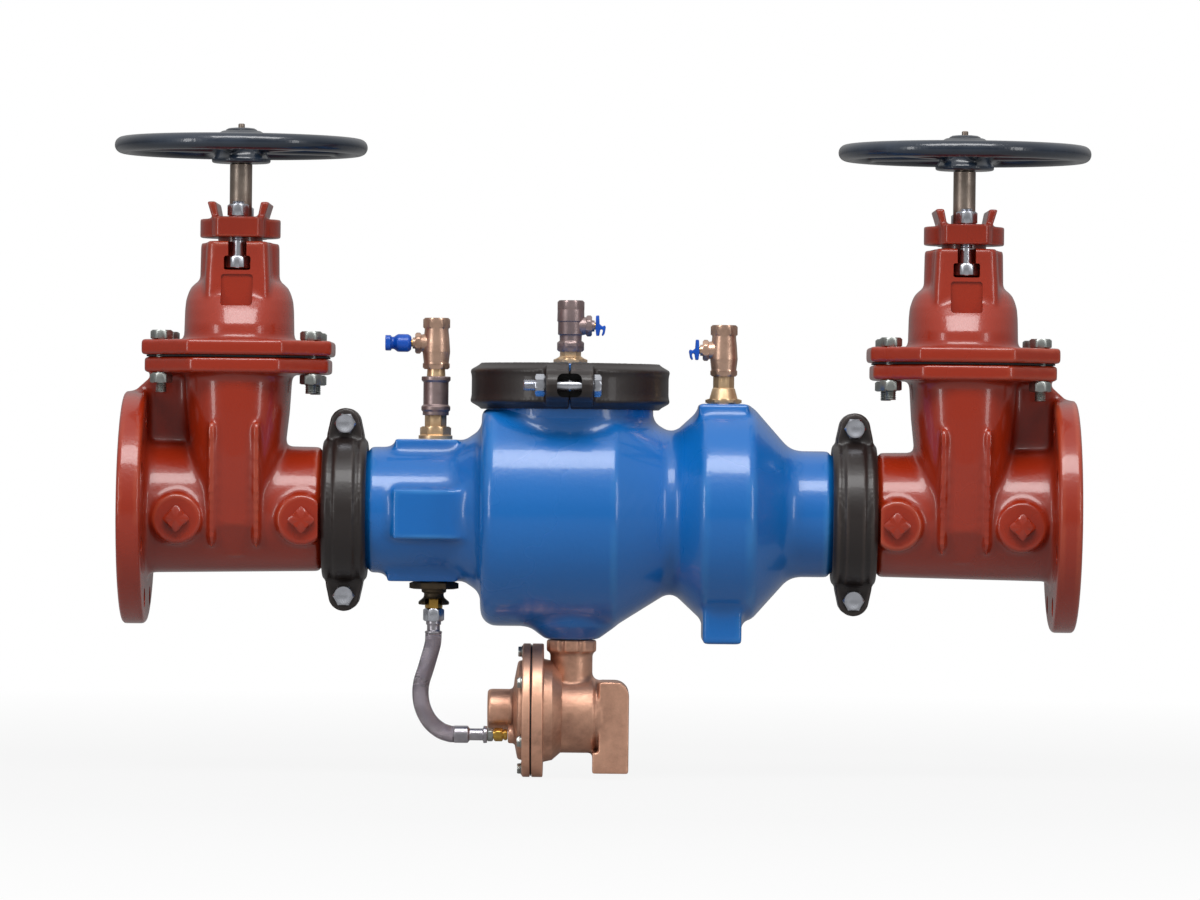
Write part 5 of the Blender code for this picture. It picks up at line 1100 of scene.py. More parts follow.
# Body plugs
# Four square-headed pipe plugs close the tapped bosses of each gate valve. They are screwed in
# before painting, so they carry the body's red enamel.
def body_plug(face, flats, reach):
    """A pipe plug on Z: its last threads, a short collar, and the square head."""
    point = flats * 0.66
    shape = [
        (reach, 0.0), (reach, flats * 0.44), (reach - 1.6, point), (face + 1.5, point),
        (face + 0.6, point * 0.92), (face - 3.0, point * 0.92), (face - 3.0, 0.0),
    ]
    return turned(shape, None, 48, flats=flats, corners=4)


plugs = []
for side in (-1, 1):
    facing = Matrix.Rotation(side * math.pi / 2, 4, "X")
    for x in PLUG_PLACES:
        plug_head = body_plug(PLUG_BOSS[1], *PLUG_HEAD)
        plug_head.data.transform(at(x, 0, -10) @ facing @ Matrix.Rotation(math.radians(45), 4, "Z"))
        plugs.append(plug_head)
placed_twice(gathered(*plugs), "body_plugs", "red_enamel", red_enamel)


# Gland and its bolts
# The gland presses the packing round the stem. Two T-head bolts stand in the bonnet's slots,
# pass through the gland between its flared ears, and carry a tall nut each.
gland_low, gland_high = extent("inlet_gland")
GLAND_FOOT = 265.5
GLAND_TOP = 285.5
GLAND_PLAN = [(20.5, 52.0), (25.0, 43.0)]
GLAND_DISC = 39.5
GLAND_NOSE = (gland_low.z, 21.9)
EAR_ROOT = (18.5, 25.0)
EAR_TIP = (22.0, 30.5)
EAR_DEPTH = 44.0
STEM_HOLE = 12.2
GLAND_GRAIN = 1.3
GLAND_TEE = (22.0, 11.5)
GLAND_NUT = (18.5, 12.0)


def gland_casting():
    (end_x, end_y), (side_x, side_y) = GLAND_PLAN
    quarter = [(end_x, end_y), (side_x, side_y), (side_x, -side_y), (end_x, -end_y)]
    outline = quarter + [(-x, -y) for x, y in quarter]
    bar = extruded(eased(outline[::-1], 3.0, closed=True), GLAND_FOOT, GLAND_TOP)
    disc = rod(GLAND_DISC, GLAND_FOOT, GLAND_TOP - 1.5)
    root, tip = GLAND_TOP - 3, gland_high.z
    corners = [(EAR_ROOT[0], root), (EAR_ROOT[1], root), (EAR_TIP[1], tip), (EAR_TIP[0], tip)]
    ears = []
    for side in (-1, 1):
        rings = [[(side * x, y, z) for x, z in corners] for y in (-EAR_DEPTH, EAR_DEPTH)]
        ears.append(lofted(rings))
    casting = cast(gathered(bar, disc, *ears), GLAND_GRAIN, 3, 12)
    nose_foot, nose_radius = GLAND_NOSE
    nose = [
        (GLAND_FOOT + 4, 0), (GLAND_FOOT + 4, nose_radius), (nose_foot + 1, nose_radius),
        (nose_foot, 20), (nose_foot, 0),
    ]
    welded(casting, turned(nose))
    cut(casting, rod(STEM_HOLE, 230, 320, None, 48))
    for y in (-GLAND_BOLT_Y, GLAND_BOLT_Y):
        cut(casting, rod(6.9, 230, 320, at(0, y), 32))
    return casting


placed_twice(gland_casting(), "gland_casting", "red_enamel", red_enamel, "gland")

for label, y in (("front", -GLAND_BOLT_Y), ("rear", GLAND_BOLT_Y)):
    node = f"gland_bolt_{label}"
    bolt_low, bolt_high = extent(f"inlet_{node}")
    head_top = bolt_low.z + GLAND_TEE[1]
    tee_head = hexagon(GLAND_TEE[0], bolt_low.z, head_top)
    nut_foot = GLAND_TOP + 0.3
    tall_nut = hexagon(GLAND_NUT[0], nut_foot, nut_foot + GLAND_NUT[1])
    bar = shank(6.0, head_top - 2, bolt_high.z, None, 262.0, bolt_high.z)
    bolt = gathered(tee_head, tall_nut, bar)
    bolt.data.transform(at(0, y))
    placed_twice(bolt, f"{node}_and_nut", "zinc_plate", zinc_plate, node)


# Stem
# Turned from bronze bar: a coarse thread for the gate's nut below, a collar that the packing box
# traps, a plain shank, and a reduced end that the handwheel, its washer and its nut sit on.
def bare_metal(name, colour, tarnish, roughness, metallic, grit, depth, lines=None):
    """Bare bronze, brass or steel, tarnished in patches and in the corners of a casting.

    It is sand-cast where grit is coarse, and turned where lines are given: the scales of a noise
    along X, Y and Z, far finer along the axis it turned about.
    """
    paint, field, spot = new_paint(name)
    hollow, machined = kept_in(field, "hollow"), kept_in(field, "machined")
    cloud = noise(field, spot, 35.0, 4.0, 0.65)
    patches = cloud.between(0.35, 0.75) * 0.75 + hollow.between(0.1, 0.9) * 0.6
    tone = patches.mixed(colour, tarnish)
    # Machined rims turn lighter: partly the bright turned metal, partly a painted highlight along them.
    tone = (machined * cloud.between(0.75, 0.4)).mixed(tone, shade(colour, 1.12))
    relief = noise(field, spot, grit, 3.0, 0.65) * (1.0 - machined * 0.9)
    relief = relief + noise(field, spot, grit * 0.2) * 0.8
    if lines:
        stretched = field.node("ShaderNodeVectorMath", {"operation": "MULTIPLY"}, {0: spot, 1: lines})
        relief = relief + noise(field, stretched, 1.0) * 1.2
    rough = cloud * 0.3 + machined * 0.04 + (roughness - 0.15)
    return finished(paint, field, tone, rough, relief, depth, 1.0, {"Metallic": metallic})


stem_bronze = bare_metal(
    "stem_bronze", rgb(178, 164, 152), rgb(98, 86, 78), 0.38, 1.0, 300.0, 0.00008, (60, 60, 2600)
)
stem_low, stem_high = extent("inlet_stem")
HUB_FOOT = extent("inlet_handwheel")[0].z
HUB_TOP = extent("inlet_handwheel")[1].z
STEM_RADIUS = 11.0
STEM_THREAD = (62.0, 176.0, 8.0, 1.6)
COLLAR = (205.3, 214.8, 21.5)


def stem_turning():
    thread_foot, thread_top, lead, depth = STEM_THREAD
    collar_foot, collar_top, collar_radius = COLLAR
    shape = [
        (stem_high.z, 0.0), (stem_high.z, 2.4), (stem_high.z - 0.8, 3.2), (HUB_TOP + 0.2, 3.2),
        (HUB_TOP + 0.2, 7.5), (HUB_FOOT - 0.3, 7.5), (HUB_FOOT - 0.3, STEM_RADIUS - 1.0),
        (HUB_FOOT - 1.3, STEM_RADIUS), (collar_top + 1.0, STEM_RADIUS), (collar_top, STEM_RADIUS + 1.0),
        (collar_top, collar_radius - 0.8), (collar_top - 0.8, collar_radius),
        (collar_foot + 0.8, collar_radius), (collar_foot, collar_radius - 0.8),
        (collar_foot, STEM_RADIUS),
    ]
    height = thread_top
    while height > thread_foot + lead:
        shape += [(height, STEM_RADIUS), (height - lead * 0.45, STEM_RADIUS)]
        shape += [(height - lead * 0.55, STEM_RADIUS - depth), (height - lead * 0.9, STEM_RADIUS - depth)]
        height -= lead
    shape += [(stem_low.z + 2, STEM_RADIUS), (stem_low.z, STEM_RADIUS - 2), (stem_low.z, 0.0)]
    return turned(shape, None, 64)


placed_twice(stem_turning(), "stem_turning", "stem_bronze", stem_bronze, "stem", moves="wheel")


# Handwheel
# Cast iron in glossy blue-black enamel: a round rim on five tapered spokes, and a hub that is
# bored for the stem's end. Rim and spokes grow from a rule, and the casting skins over them.
WHEEL_RADIUS = extent("inlet_handwheel")[1].y
RIM_RADIUS = 8.2
WHEEL_LEVEL = 356.0
HUB_RADIUS = 29.0
WHEEL_GRAIN = 1.5
SPOKES = 5

wheel_enamel = coated("wheel_enamel", rgb(14, 28, 44), rgb(86, 98, 116), 0.3, 0.00018, 0.7)

wheel_tree, field, given = new_tree(
    "spoked_wheel", hub="object", spoke="object", spokes="count", reach="number", rim_radius="number",
    level="number", finish="finish",
)
rim_line = field.node(
    "GeometryNodeCurvePrimitiveCircle", None, {"Resolution": 160, "Radius": given["reach"]}, "Curve"
)
rim_ring = field.node(
    "GeometryNodeCurvePrimitiveCircle", None, {"Resolution": 24, "Radius": given["rim_radius"]}, "Curve"
)
rim = field.node("GeometryNodeCurveToMesh", None, {"Curve": rim_line, "Profile Curve": rim_ring})
rise = field.node("ShaderNodeCombineXYZ", None, {"Z": given["level"]})
raised_rim = field.node("GeometryNodeTransform", None, {"Geometry": rim, "Translation": rise})
centres = field.node("GeometryNodePoints", None, {"Count": given["spokes"], "Position": rise})
spokes = around(field, given["spoke"], given["spokes"], centres, (0, 0, 1))
hub = field.node("GeometryNodeObjectInfo", None, {"Object": given["hub"]}, "Geometry")
whole = field.node("GeometryNodeJoinGeometry", None, {"Geometry": [raised_rim, spokes, hub]})
tree_end(field, whole, given["finish"])


def wheel_hub():
    shape = [
        (HUB_TOP, 0.0, 0), (HUB_TOP, 19.0, 1.5), (HUB_TOP - 2.6, 21.5, 2.0), (HUB_TOP - 3.2, 28.5, 1.5),
        (HUB_TOP - 8.0, 25.0, 4.0), (HUB_FOOT + 8.0, 25.0, 4.0), (HUB_FOOT + 5.0, HUB_RADIUS, 1.5),
        (HUB_FOOT, HUB_RADIUS, 1.5), (HUB_FOOT, 0.0, 0),
    ]
    return turned(eased(shape), None, 96)


def wheel_spoke(reach):
    """One spoke along X: deep and narrow at the hub, flat and wide where it meets the rim."""
    sections = []
    for step in range(7):
        share = step / 6
        half_width = 8.6 - 2.2 * math.sin(math.pi * share) + 1.2 * share
        half_height = 7.0 - 1.6 * share
        x = 15 + (reach - 15) * share
        angles = [math.tau * k / 20 for k in range(20)]
        sections.append([(x, half_width * math.cos(a), half_height * math.sin(a)) for a in angles])
    return lofted(sections)


hub_blank, spoke_blank = wheel_hub(), wheel_spoke(WHEEL_RADIUS - RIM_RADIUS)
wheel = grown(
    wheel_tree, hub=hub_blank, spoke=spoke_blank, spokes=SPOKES, reach=WHEEL_RADIUS - RIM_RADIUS,
    rim_radius=RIM_RADIUS, level=WHEEL_LEVEL, finish=wheel_enamel,
)
for spare in (hub_blank, spoke_blank):
    bpy.data.objects.remove(spare)
cast(wheel, WHEEL_GRAIN, 3, 12)
cut(wheel, rod(8.0, 300, 400, None, 48))
placed_twice(wheel, "handwheel_casting", "wheel_enamel", wheel_enamel, "handwheel", moves="wheel")

dished = [(2.8, 3.4), (2.8, 8.0), (2.3, 12.6), (0.9, 15.2), (0.3, 15.5), (0.3, 3.4)]
washer = turned([(HUB_TOP + height, radius) for height, radius in dished], None, 64, ring=True)
placed_twice(washer, "handwheel_washer", "wheel_enamel", wheel_enamel, moves="wheel")


# Sensing line
# A rubber hose under a stainless wire braid brings the inlet pressure down to the relief valve.
# Crimped steel ferrules hold its ends, with a swivel nut on a brass adapter at each.
brass = bare_metal("brass", rgb(214, 172, 84), rgb(150, 112, 60), 0.3, 1.0, 500.0, 0.00005)
tarnished_brass = bare_metal(
    "tarnished_brass", rgb(92, 78, 58), rgb(38, 34, 30), 0.5, 0.7, 420.0, 0.00012
)
ferrule_steel = bare_metal(
    "ferrule_steel", rgb(190, 186, 192), rgb(120, 116, 122), 0.34, 1.0, 600.0, 0.00006
)

# Moulded rubber is matt and faintly mottled, with a fine bloom of talc.
grey = rgb(38, 38, 40)
pale = (*(1.9 * value + 0.01 for value in grey[:3]), 1.0)
rubber, field, spot = new_paint("rubber")
bloom = noise(field, spot, 80.0, 4.0, 0.6)
tone = (bloom.between(0.45, 0.8) * 0.6).mixed(grey, pale)
relief = noise(field, spot, 900.0) + bloom * 0.5
finished(rubber, field, tone, bloom * 0.15 + 0.62, relief, 0.0001, 0.7)

BRAID_WIRES = 6
BRAID_STRANDS = 36
BRAID_THICKNESS = 0.2
BRAID_HALF_WIDTH = 0.82
HOSE_RADIUS = 8.0
HOSE_SEGMENTS = 60

# Flat bundles of fine wires, each raised along its crown: a painted highlight lightens each crown, and
# painted shade darkens the gaps between the wires.
steel_braid, field, spot = new_paint("steel_braid")
smudge = noise(field, spot, 55.0, 3.0, 0.6)
across = kept_in(field, "across") * (math.pi * BRAID_WIRES / 2)
crown_height_and_highlight = field.maths("ABSOLUTE", field.maths("SINE", across))
# Painted highlight along each wire's crown, painted shade between the wires.
tone = crown_height_and_highlight.between(0.0, 0.7).mixed(rgb(46, 41, 45), rgb(214, 204, 212))
tone = (smudge.between(0.4, 0.75) * 0.5).mixed(tone, rgb(92, 82, 90))
finished(steel_braid, field, tone, smudge * 0.2 + 0.14, crown_height_and_highlight, 0.0002, 1.0, {"Metallic": 1.0})

adapter_low, adapter_high = extent("hose_inlet_adapter")
fitting_low, fitting_high = extent("hose_relief_fitting")
hose_x = middle("hose_inlet_adapter").x
entry_y = middle("hose_relief_fitting").y
entry_z = middle("hose_relief_fitting").z
hose_start = Vector((hose_x, 0, adapter_low.z - 0.3))
hose_finish = Vector((fitting_low.x - 0.3, entry_y, entry_z))
HOSE_ROUTE = [
    hose_start + Vector((0, 0, -4)), hose_start + Vector((-1, 0, -12)), Vector((299.5, -2, -153.6)),
    Vector((294.3, -6, -172.5)), Vector((295.5, -10.5, -190.5)), Vector((303.0, -15, -206.0)),
    Vector((314.0, -18.5, -215.5)), hose_finish + Vector((-3, 0, 0)),
]


def smooth_line(points, count):
    """Evenly spaced parameters on a Catmull-Rom curve through the points."""
    knots = [2 * points[0] - points[1], *points, 2 * points[-1] - points[-2]]
    line = []
    for i in range(count + 1):
        t = i / count * (len(points) - 1)
        k = min(int(t), len(points) - 2)
        u = t - k
        a, b, c, d = knots[k : k + 4]
        near = 2 * b + (c - a) * u + (2 * a - 5 * b + 4 * c - d) * u * u
        line.append(0.5 * near + 0.5 * (3 * b - a - 3 * c + d) * u**3)
    return line


def wire_object(name, points, radius):
    """A round tube on one open spline, in the points' own units."""
    curve = bpy.data.curves.new(name, "CURVE")
    curve.dimensions = "3D"
    curve.bevel_depth = radius
    curve.bevel_resolution = 4
    curve.use_fill_caps = True
    spline = curve.splines.new("POLY")
    spline.points.add(len(points) - 1)
    for point, place in zip(spline.points, points):
        point.co = (*place, 1)
    made = bpy.data.objects.new(name, curve)
    studio.collection.objects.link(made)
    return made


hose_line = [hose_start, *smooth_line(HOSE_ROUTE, HOSE_SEGMENTS), hose_finish]
hose_length = sum((b - a).length for a, b in zip(hose_line, hose_line[1:]))
liner_radius = HOSE_RADIUS - 3 * BRAID_THICKNESS
liner = wire_object("sensing_hose_liner", [point * MM for point in hose_line], liner_radius * MM)
liner.data.materials.append(rubber)
guide_line = wire_object("guide", hose_line, 0.0)

braid_tree, field, given = new_tree(
    "wire_braid", path="object", strands="count", radius="number", pitch="number", half_width="number",
    thickness="number", step="number", finish="finish",
)
along_path = field.node("GeometryNodeObjectInfo", None, {"Object": given["path"]}, "Geometry")
even = {"Curve": along_path, "Length": given["step"]}
even_line = field.node("GeometryNodeResampleCurve", {"mode": "LENGTH"}, even)
many = {"Geometry": even_line, "Amount": given["strands"]}
copies = field.node("GeometryNodeDuplicateElements", {"domain": "SPLINE"}, many)
number = Field(field.tree, copies.socket.node.outputs["Duplicate Index"])
way = 1 - 2 * field.maths("MODULO", number, 2)
gone = field.node("GeometryNodeSplineParameter", None, None, "Length")
angle = number * math.tau / given["strands"] + way * gone * math.tau / given["pitch"]
over = field.maths("SINE", given["strands"] * math.pi * gone / given["pitch"])
reach = given["radius"] + way * over * given["thickness"]
tangent = field.node("GeometryNodeInputTangent")
normal = field.node("GeometryNodeInputNormal")
binormal = field.node("ShaderNodeVectorMath", {"operation": "CROSS_PRODUCT"}, {0: tangent, 1: normal})
first = {"Vector": normal, "Scale": field.maths("COSINE", angle)}
second = {"Vector": binormal, "Scale": field.maths("SINE", angle)}
first_part = field.node("ShaderNodeVectorMath", {"operation": "SCALE"}, first)
second_part = field.node("ShaderNodeVectorMath", {"operation": "SCALE"}, second)
outward = field.node("ShaderNodeVectorMath", {"operation": "ADD"}, {0: first_part, 1: second_part})
keeping = {"data_type": "FLOAT_VECTOR", "domain": "POINT"}
held = {"Geometry": copies, "Name": "outward", "Value": outward}
marked = field.node("GeometryNodeStoreNamedAttribute", keeping, held)
move = field.node("ShaderNodeVectorMath", {"operation": "SCALE"}, {"Vector": outward, "Scale": reach})
wound = field.node("GeometryNodeSetPosition", None, {"Geometry": marked, "Offset": move})
read = field.node("GeometryNodeInputNamedAttribute", {"data_type": "FLOAT_VECTOR"}, {"Name": "outward"})
level_up = field.node("GeometryNodeSetCurveNormal", {"mode": "FREE"}, {"Curve": wound, "Normal": read})
ring = field.node("GeometryNodeCurvePrimitiveCircle", None, {"Resolution": 8, "Radius": 1.0}, "Curve")
place = field.node("GeometryNodeInputPosition")
sideways = field.node("ShaderNodeSeparateXYZ", None, {"Vector": place}, "Y")
kept_across = {"Geometry": ring, "Name": "across", "Value": sideways}
keeping = {"data_type": "FLOAT", "domain": "POINT"}
ring = field.node("GeometryNodeStoreNamedAttribute", keeping, kept_across)
section = {"X": given["thickness"], "Y": given["half_width"], "Z": 1.0}
flat = field.node("ShaderNodeCombineXYZ", None, section)
strip = field.node("GeometryNodeTransform", None, {"Geometry": ring, "Scale": flat})
ribbon = {"Curve": level_up, "Profile Curve": strip, "Fill Caps": True}
strands = field.node("GeometryNodeCurveToMesh", None, ribbon)
tree_end(field, strands, given["finish"])

braid = grown(
    braid_tree, path=guide_line, strands=BRAID_STRANDS, radius=HOSE_RADIUS - 1.2 * BRAID_THICKNESS,
    pitch=math.tau * HOSE_RADIUS, half_width=BRAID_HALF_WIDTH, thickness=BRAID_THICKNESS, step=0.6,
    finish=steel_braid,
)
bpy.data.objects.remove(guide_line)
keep(braid, "sensing_hose_braid", "assembly", "steel_braid", steel_braid)
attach(liner, "assembly")
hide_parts("sensing_hose")


def swivel_nut(flats, low, high, place):
    """A hexagon nut with both faces chamfered."""
    return hexagon(flats, low, high, 0.0, place, 0.95, (1.3, 1.3))


plate_foot = adapter_high.z - 7.4
hex_foot = adapter_high.z - 27.0
nut_foot = hex_foot - 12.0
down = at(hose_x)
plug_shape = [
    (plate_foot + 0.5, 0.0, 0), (plate_foot + 0.5, 12.4, 0.6), (plate_foot - 3.0, 12.0, 0.8),
    (plate_foot - 4.0, 9.6, 1.5), (plate_foot - 8.0, 9.9, 5.0), (plate_foot - 12.4, 15.1, 1.2),
    (plate_foot - 15.2, 15.1, 1.2), (plate_foot - 15.6, 12.0, 0.4), (plate_foot - 15.6, 0.0, 0),
]
plug_plate = hexagon(42.0, plate_foot, adapter_high.z, 0.0, down)
bell = turned(eased(plug_shape), down, 64)
cut(bell, slab((hose_x - 8.3, -20, plate_foot - 30), (hose_x + 8.3, 20, plate_foot - 9.4)))
plug = gathered(plug_plate, bell)
keep(plug, "hose_adapter_plug", "assembly", "brass", tarnished_brass, "hose_inlet_adapter")
keep(swivel_nut(15.0, hex_foot, plate_foot - 8, down), "hose_adapter_union", "assembly", "brass", brass)
upper_nut = swivel_nut(18.0, nut_foot, hex_foot + 0.6, down)
keep(upper_nut, "hose_adapter_nut", "assembly", "zinc_plate", zinc_plate)
upper_sleeve = [
    (nut_foot + 0.4, 0.0, 0), (nut_foot + 0.4, 7.4, 0.5), (nut_foot - 3.2, 7.4, 0.6),
    (nut_foot - 3.8, 6.4, 0.6), (adapter_low.z + 2.8, 6.4, 0.8), (adapter_low.z + 2.0, 8.4, 0.5),
    (adapter_low.z, 8.4, 0.4), (adapter_low.z, 0.0, 0),
]
upper_ferrule = turned(eased(upper_sleeve), down, 48)
keep(upper_ferrule, "hose_adapter_ferrule", "assembly", "zinc_plate", ferrule_steel)

entry = at(fitting_high.x, entry_y, entry_z) @ ALONG
union = gathered(swivel_nut(11.5, -13.4, -4.4, entry), swivel_nut(9.6, -4.0, 0.0, entry))
union = gathered(union, rod(4.3, -16, -3, entry, 32))
keep(union, "hose_relief_union", "assembly", "brass", brass, "hose_relief_fitting")
keep(swivel_nut(11.6, -20.4, -14.0, entry), "hose_relief_nut", "assembly", "zinc_plate", dull_zinc)
lower_sleeve = [
    (-20.0, 0.0, 0), (-20.0, 8.2, 0.6), (-23.5, 8.6, 0.6), (-24.1, 5.9, 0.8), (-37.2, 5.9, 1.5),
    (-39.0, 8.5, 1.5), (-51.8, 8.5, 0.6), (-52.5, 8.0, 0.3), (-52.5, 0.0, 0),
]
lower_ferrule = turned(eased(lower_sleeve), entry, 48)
keep(lower_ferrule, "hose_relief_ferrule", "assembly", "zinc_plate", ferrule_steel)


# Relief valve
# Cast in bronze in two parts and left bare. The body's hood vents downwards, the cover guides
# the plunger, and six screws clamp the diaphragm between their turned flanges.
cast_bronze = bare_metal("cast_bronze", rgb(228, 176, 148), rgb(138, 98, 82), 0.42, 0.75, 240.0, 0.0003)

RELIEF_PLACE = at(*middle("relief_diaphragm"))
RELIEF_FLANGE = (65.7, 0.8, 11.8)
RELIEF_COVER_FLANGE = 8.8
RELIEF_BARREL = (37.5, 62.0, -4.0)
RELIEF_COLLAR = (39.0, 58.1, 69.9)
RELIEF_NECK = 20.8
HOOD = [(60.5, -60.3, 1.5), (96.0, -60.3, 1.5), (96.0, 29.7, 27.0), (66.4, 29.7, 1.5), (66.4, -40.0, 1.0)]
HOOD_HALF_WIDTH = 33.0
HOOD_WALL = 4.5
RELIEF_HUB = (20.7, 43.0)
RELIEF_SCREWS = (6, 57.5, 10.0, 4.5)
RELIEF_GRAIN = 1.3
PLUNGER_GUIDE = 4.6
tap_place = at(0, entry_y, entry_z - middle("relief_diaphragm").z) @ ALONG


def machined_and_highlight_where(obj, test):
    """Keeps an attribute for the finish that is 1 at the points the test picks: turned metal, painted
    lighter, partly as a painted highlight.
    """
    layer = obj.data.attributes.new("machined", "FLOAT", "POINT")
    for point, vertex in zip(layer.data, obj.data.vertices):
        point.value = 1.0 if test(vertex.co) else 0.0


def on_rim(reach, low, high):
    """Picks the points of a turned rim: that far from the X axis, between two places along it."""
    return lambda p: low <= p.x <= high and math.hypot(p.y, p.z) > reach


def hood_outline(inset=0.0):
    """The hood's side view; inset by its wall it is the throat, open at the foot."""
    if not inset:
        return eased(HOOD + [(60.5, -40.0, 0.5)], closed=True, steps=10)
    (x0, z0, _), (x1, _, _), (_, z1, corner) = HOOD[:3]
    points = [(x0 + inset, z0 - 5, 0), (x1 - inset, z0 - 5, 0), (x1 - inset, z1 - inset, corner - inset)]
    points += [(69.0, z1 - inset, 0), (69.0, z0 + 14, 3.0), (x0 + inset, z0 + 6, 3.0)]
    return eased(points, closed=True, steps=10)


def relief_body_casting():
    barrel, barrel_end, drop = RELIEF_BARREL
    x, collar_foot, collar_top = RELIEF_COLLAR
    reach, face, back = RELIEF_FLANGE
    lie = at(0, 0, drop) @ ALONG
    rough = turned(eased([(barrel_end, 0), (barrel_end, barrel, 1.0), (10, barrel), (10, 0)]), lie, 128)
    core = rod(34.6, 50, 69, lie)
    neck = rod(RELIEF_NECK, 8, collar_foot + 4, at(x))
    hood = extruded(hood_outline(), -HOOD_HALF_WIDTH, HOOD_HALF_WIDTH, TOWARDS_VIEWER)
    ring = [(collar_top, 0), (collar_top, 22.8, 0.6), (collar_foot, 22.8, 0.6), (collar_foot, 0)]
    lugs = []
    for i in range(8):
        turn = at(x) @ Matrix.Rotation(math.tau * i / 8, 4, "Z")
        lugs.append(slab((15.0, -6.6, collar_foot), (24.4, 6.6, collar_top), turn))
    collar = turned(eased(ring), at(x), 64)
    casting = cast(gathered(rough, core, neck, hood, collar, *lugs), RELIEF_GRAIN, 2, 16)
    flange = [
        (30.0, 0, 0), (30.0, 40.6, 1.5), (23.5, 46.3, 3.0), (20.8, 48.8, 1.5), (back + 0.2, 50.8, 1.2),
        (back, reach, 1.4), (face, reach, 1.0), (face, 0, 0),
    ]
    welded(casting, turned(eased(flange), ALONG, 160))
    inside = HOOD_HALF_WIDTH - HOOD_WALL
    cut(casting, extruded(hood_outline(HOOD_WALL), -inside, inside, TOWARDS_VIEWER))
    profile = [(70, 0), (70, 19), (56, 19), (56, 28), (30, 28), (30, 10), (26, 10), (26, 20)]
    profile += [(15.8, 20), (15.8, 42), (face - 5, 42), (face - 5, 0)]
    neck_bore = rod(14, 22, collar_top + 5, at(x), 48)
    cut(casting, turned(profile, ALONG, 96), neck_bore)
    rim = on_rim(reach - 2.5, face - 0.1, back + 0.1)

    def bright(p):
        return rim(p) or (p.z > collar_foot - 1 and math.hypot(p.x - x, p.y) > 23.8)

    machined_and_highlight_where(casting, bright)
    casting.data.transform(RELIEF_PLACE)
    return casting


def relief_cover_casting():
    reach, face, _ = RELIEF_FLANGE
    back = -RELIEF_COVER_FLANGE
    hub, hub_end = RELIEF_HUB
    rough = [
        (back + 3, 0, 0), (back + 3, 49.6, 0), (-13.2, 48.6, 3.0), (-16.8, 30.0, 1.0), (-17.6, hub, 1.0),
        (-hub_end, hub, 3.6), (-hub_end, 0, 0),
    ]
    boss = turned(eased([(-12, 0), (-12, 8.5), (-22.5, 8.5, 1.0), (-22.5, 0)]), tap_place, 48)
    casting = cast(gathered(turned(eased(rough, steps=8), ALONG, 128), boss), RELIEF_GRAIN, 2, 14)
    rim = [
        (-face, 0, 0), (-face, reach, 1.0), (back, reach, 1.8), (back, 49.0, 0.4), (back - 1.0, 48.0, 0),
        (back - 1.0, 0, 0),
    ]
    welded(casting, turned(eased(rim), ALONG, 160))
    inside = [(5, 0), (5, 42), (-12, 42), (-12, PLUNGER_GUIDE), (-38, PLUNGER_GUIDE), (-38, 0)]
    tap = rod(4.6, -30, -11, tap_place, 32)
    cut(casting, turned(inside, ALONG, 96), tap)
    machined_and_highlight_where(casting, on_rim(reach - 2.5, back - 0.1, 0.1))
    casting.data.transform(RELIEF_PLACE)
    return casting


relief_body = relief_body_casting()
keep(relief_body, "relief_body_casting", "assembly", "cast_bronze", cast_bronze, "relief_body")
relief_cover = relief_cover_casting()
keep(relief_cover, "relief_cover_casting", "assembly", "cast_bronze", cast_bronze, "relief_cover")

ring_tree, field, given = new_tree("screws_in_a_ring", screw="object", count="count", finish="finish")
centres = field.node("GeometryNodePoints", None, {"Count": given["count"]})
tree_end(field, around(field, given["screw"], given["count"], centres, (1, 0, 0)), given["finish"])

count, circle, flats, height = RELIEF_SCREWS
screw_place = at(0, circle, 0) @ Matrix.Rotation(-math.pi / 2, 4, "Y")
seat = RELIEF_COVER_FLANGE
screw_head = hexagon(flats, seat + 0.9, seat + height, 0.5, screw_place)
washer = [(seat + 1.1, 0), (seat + 1.1, 5.9), (seat, 6.2), (0.8, 3.0), (0.8, 0)]
one_screw = gathered(screw_head, turned(washer, screw_place, 32))
screws = grown(ring_tree, screw=one_screw, count=count, finish=dull_zinc)
bpy.data.objects.remove(one_screw)
screws.data.transform(RELIEF_PLACE)
keep(screws, "relief_cover_screws", "assembly", "zinc_plate", dull_zinc)


# Inlet riser
# A brass bushing in the body's pad, a hexagon nipple and a beaded coupling lift the inlet cock
# clear of the line coupling. All are bronze or brass; the coupling has weathered brown.
browned_bronze = bare_metal(
    "browned_bronze", rgb(168, 148, 146), rgb(104, 88, 86), 0.4, 0.8, 300.0, 0.00014
)
fitting_brass = bare_metal(
    "fitting_brass", rgb(240, 208, 166), rgb(170, 132, 94), 0.34, 0.75, 420.0, 0.00008
)

riser_low, riser_high = extent("inlet_cock_riser")
riser_x = middle("inlet_cock_riser").x
riser_place = at(riser_x, 0, riser_low.z)
RISER = riser_high.z - riser_low.z
COCK_BORE = 5.5


def hexagonal(flats, low, high, trim=0.6, place=None):
    """A fitting's hexagon, its corners trimmed alike at both ends."""
    return hexagon(flats, low, high, 0.0, place, 1.0, (2 * trim, 2 * trim))


def bored(obj, radius, low, high, place=None):
    return cut(obj, rod(radius, low, high, place, 32))


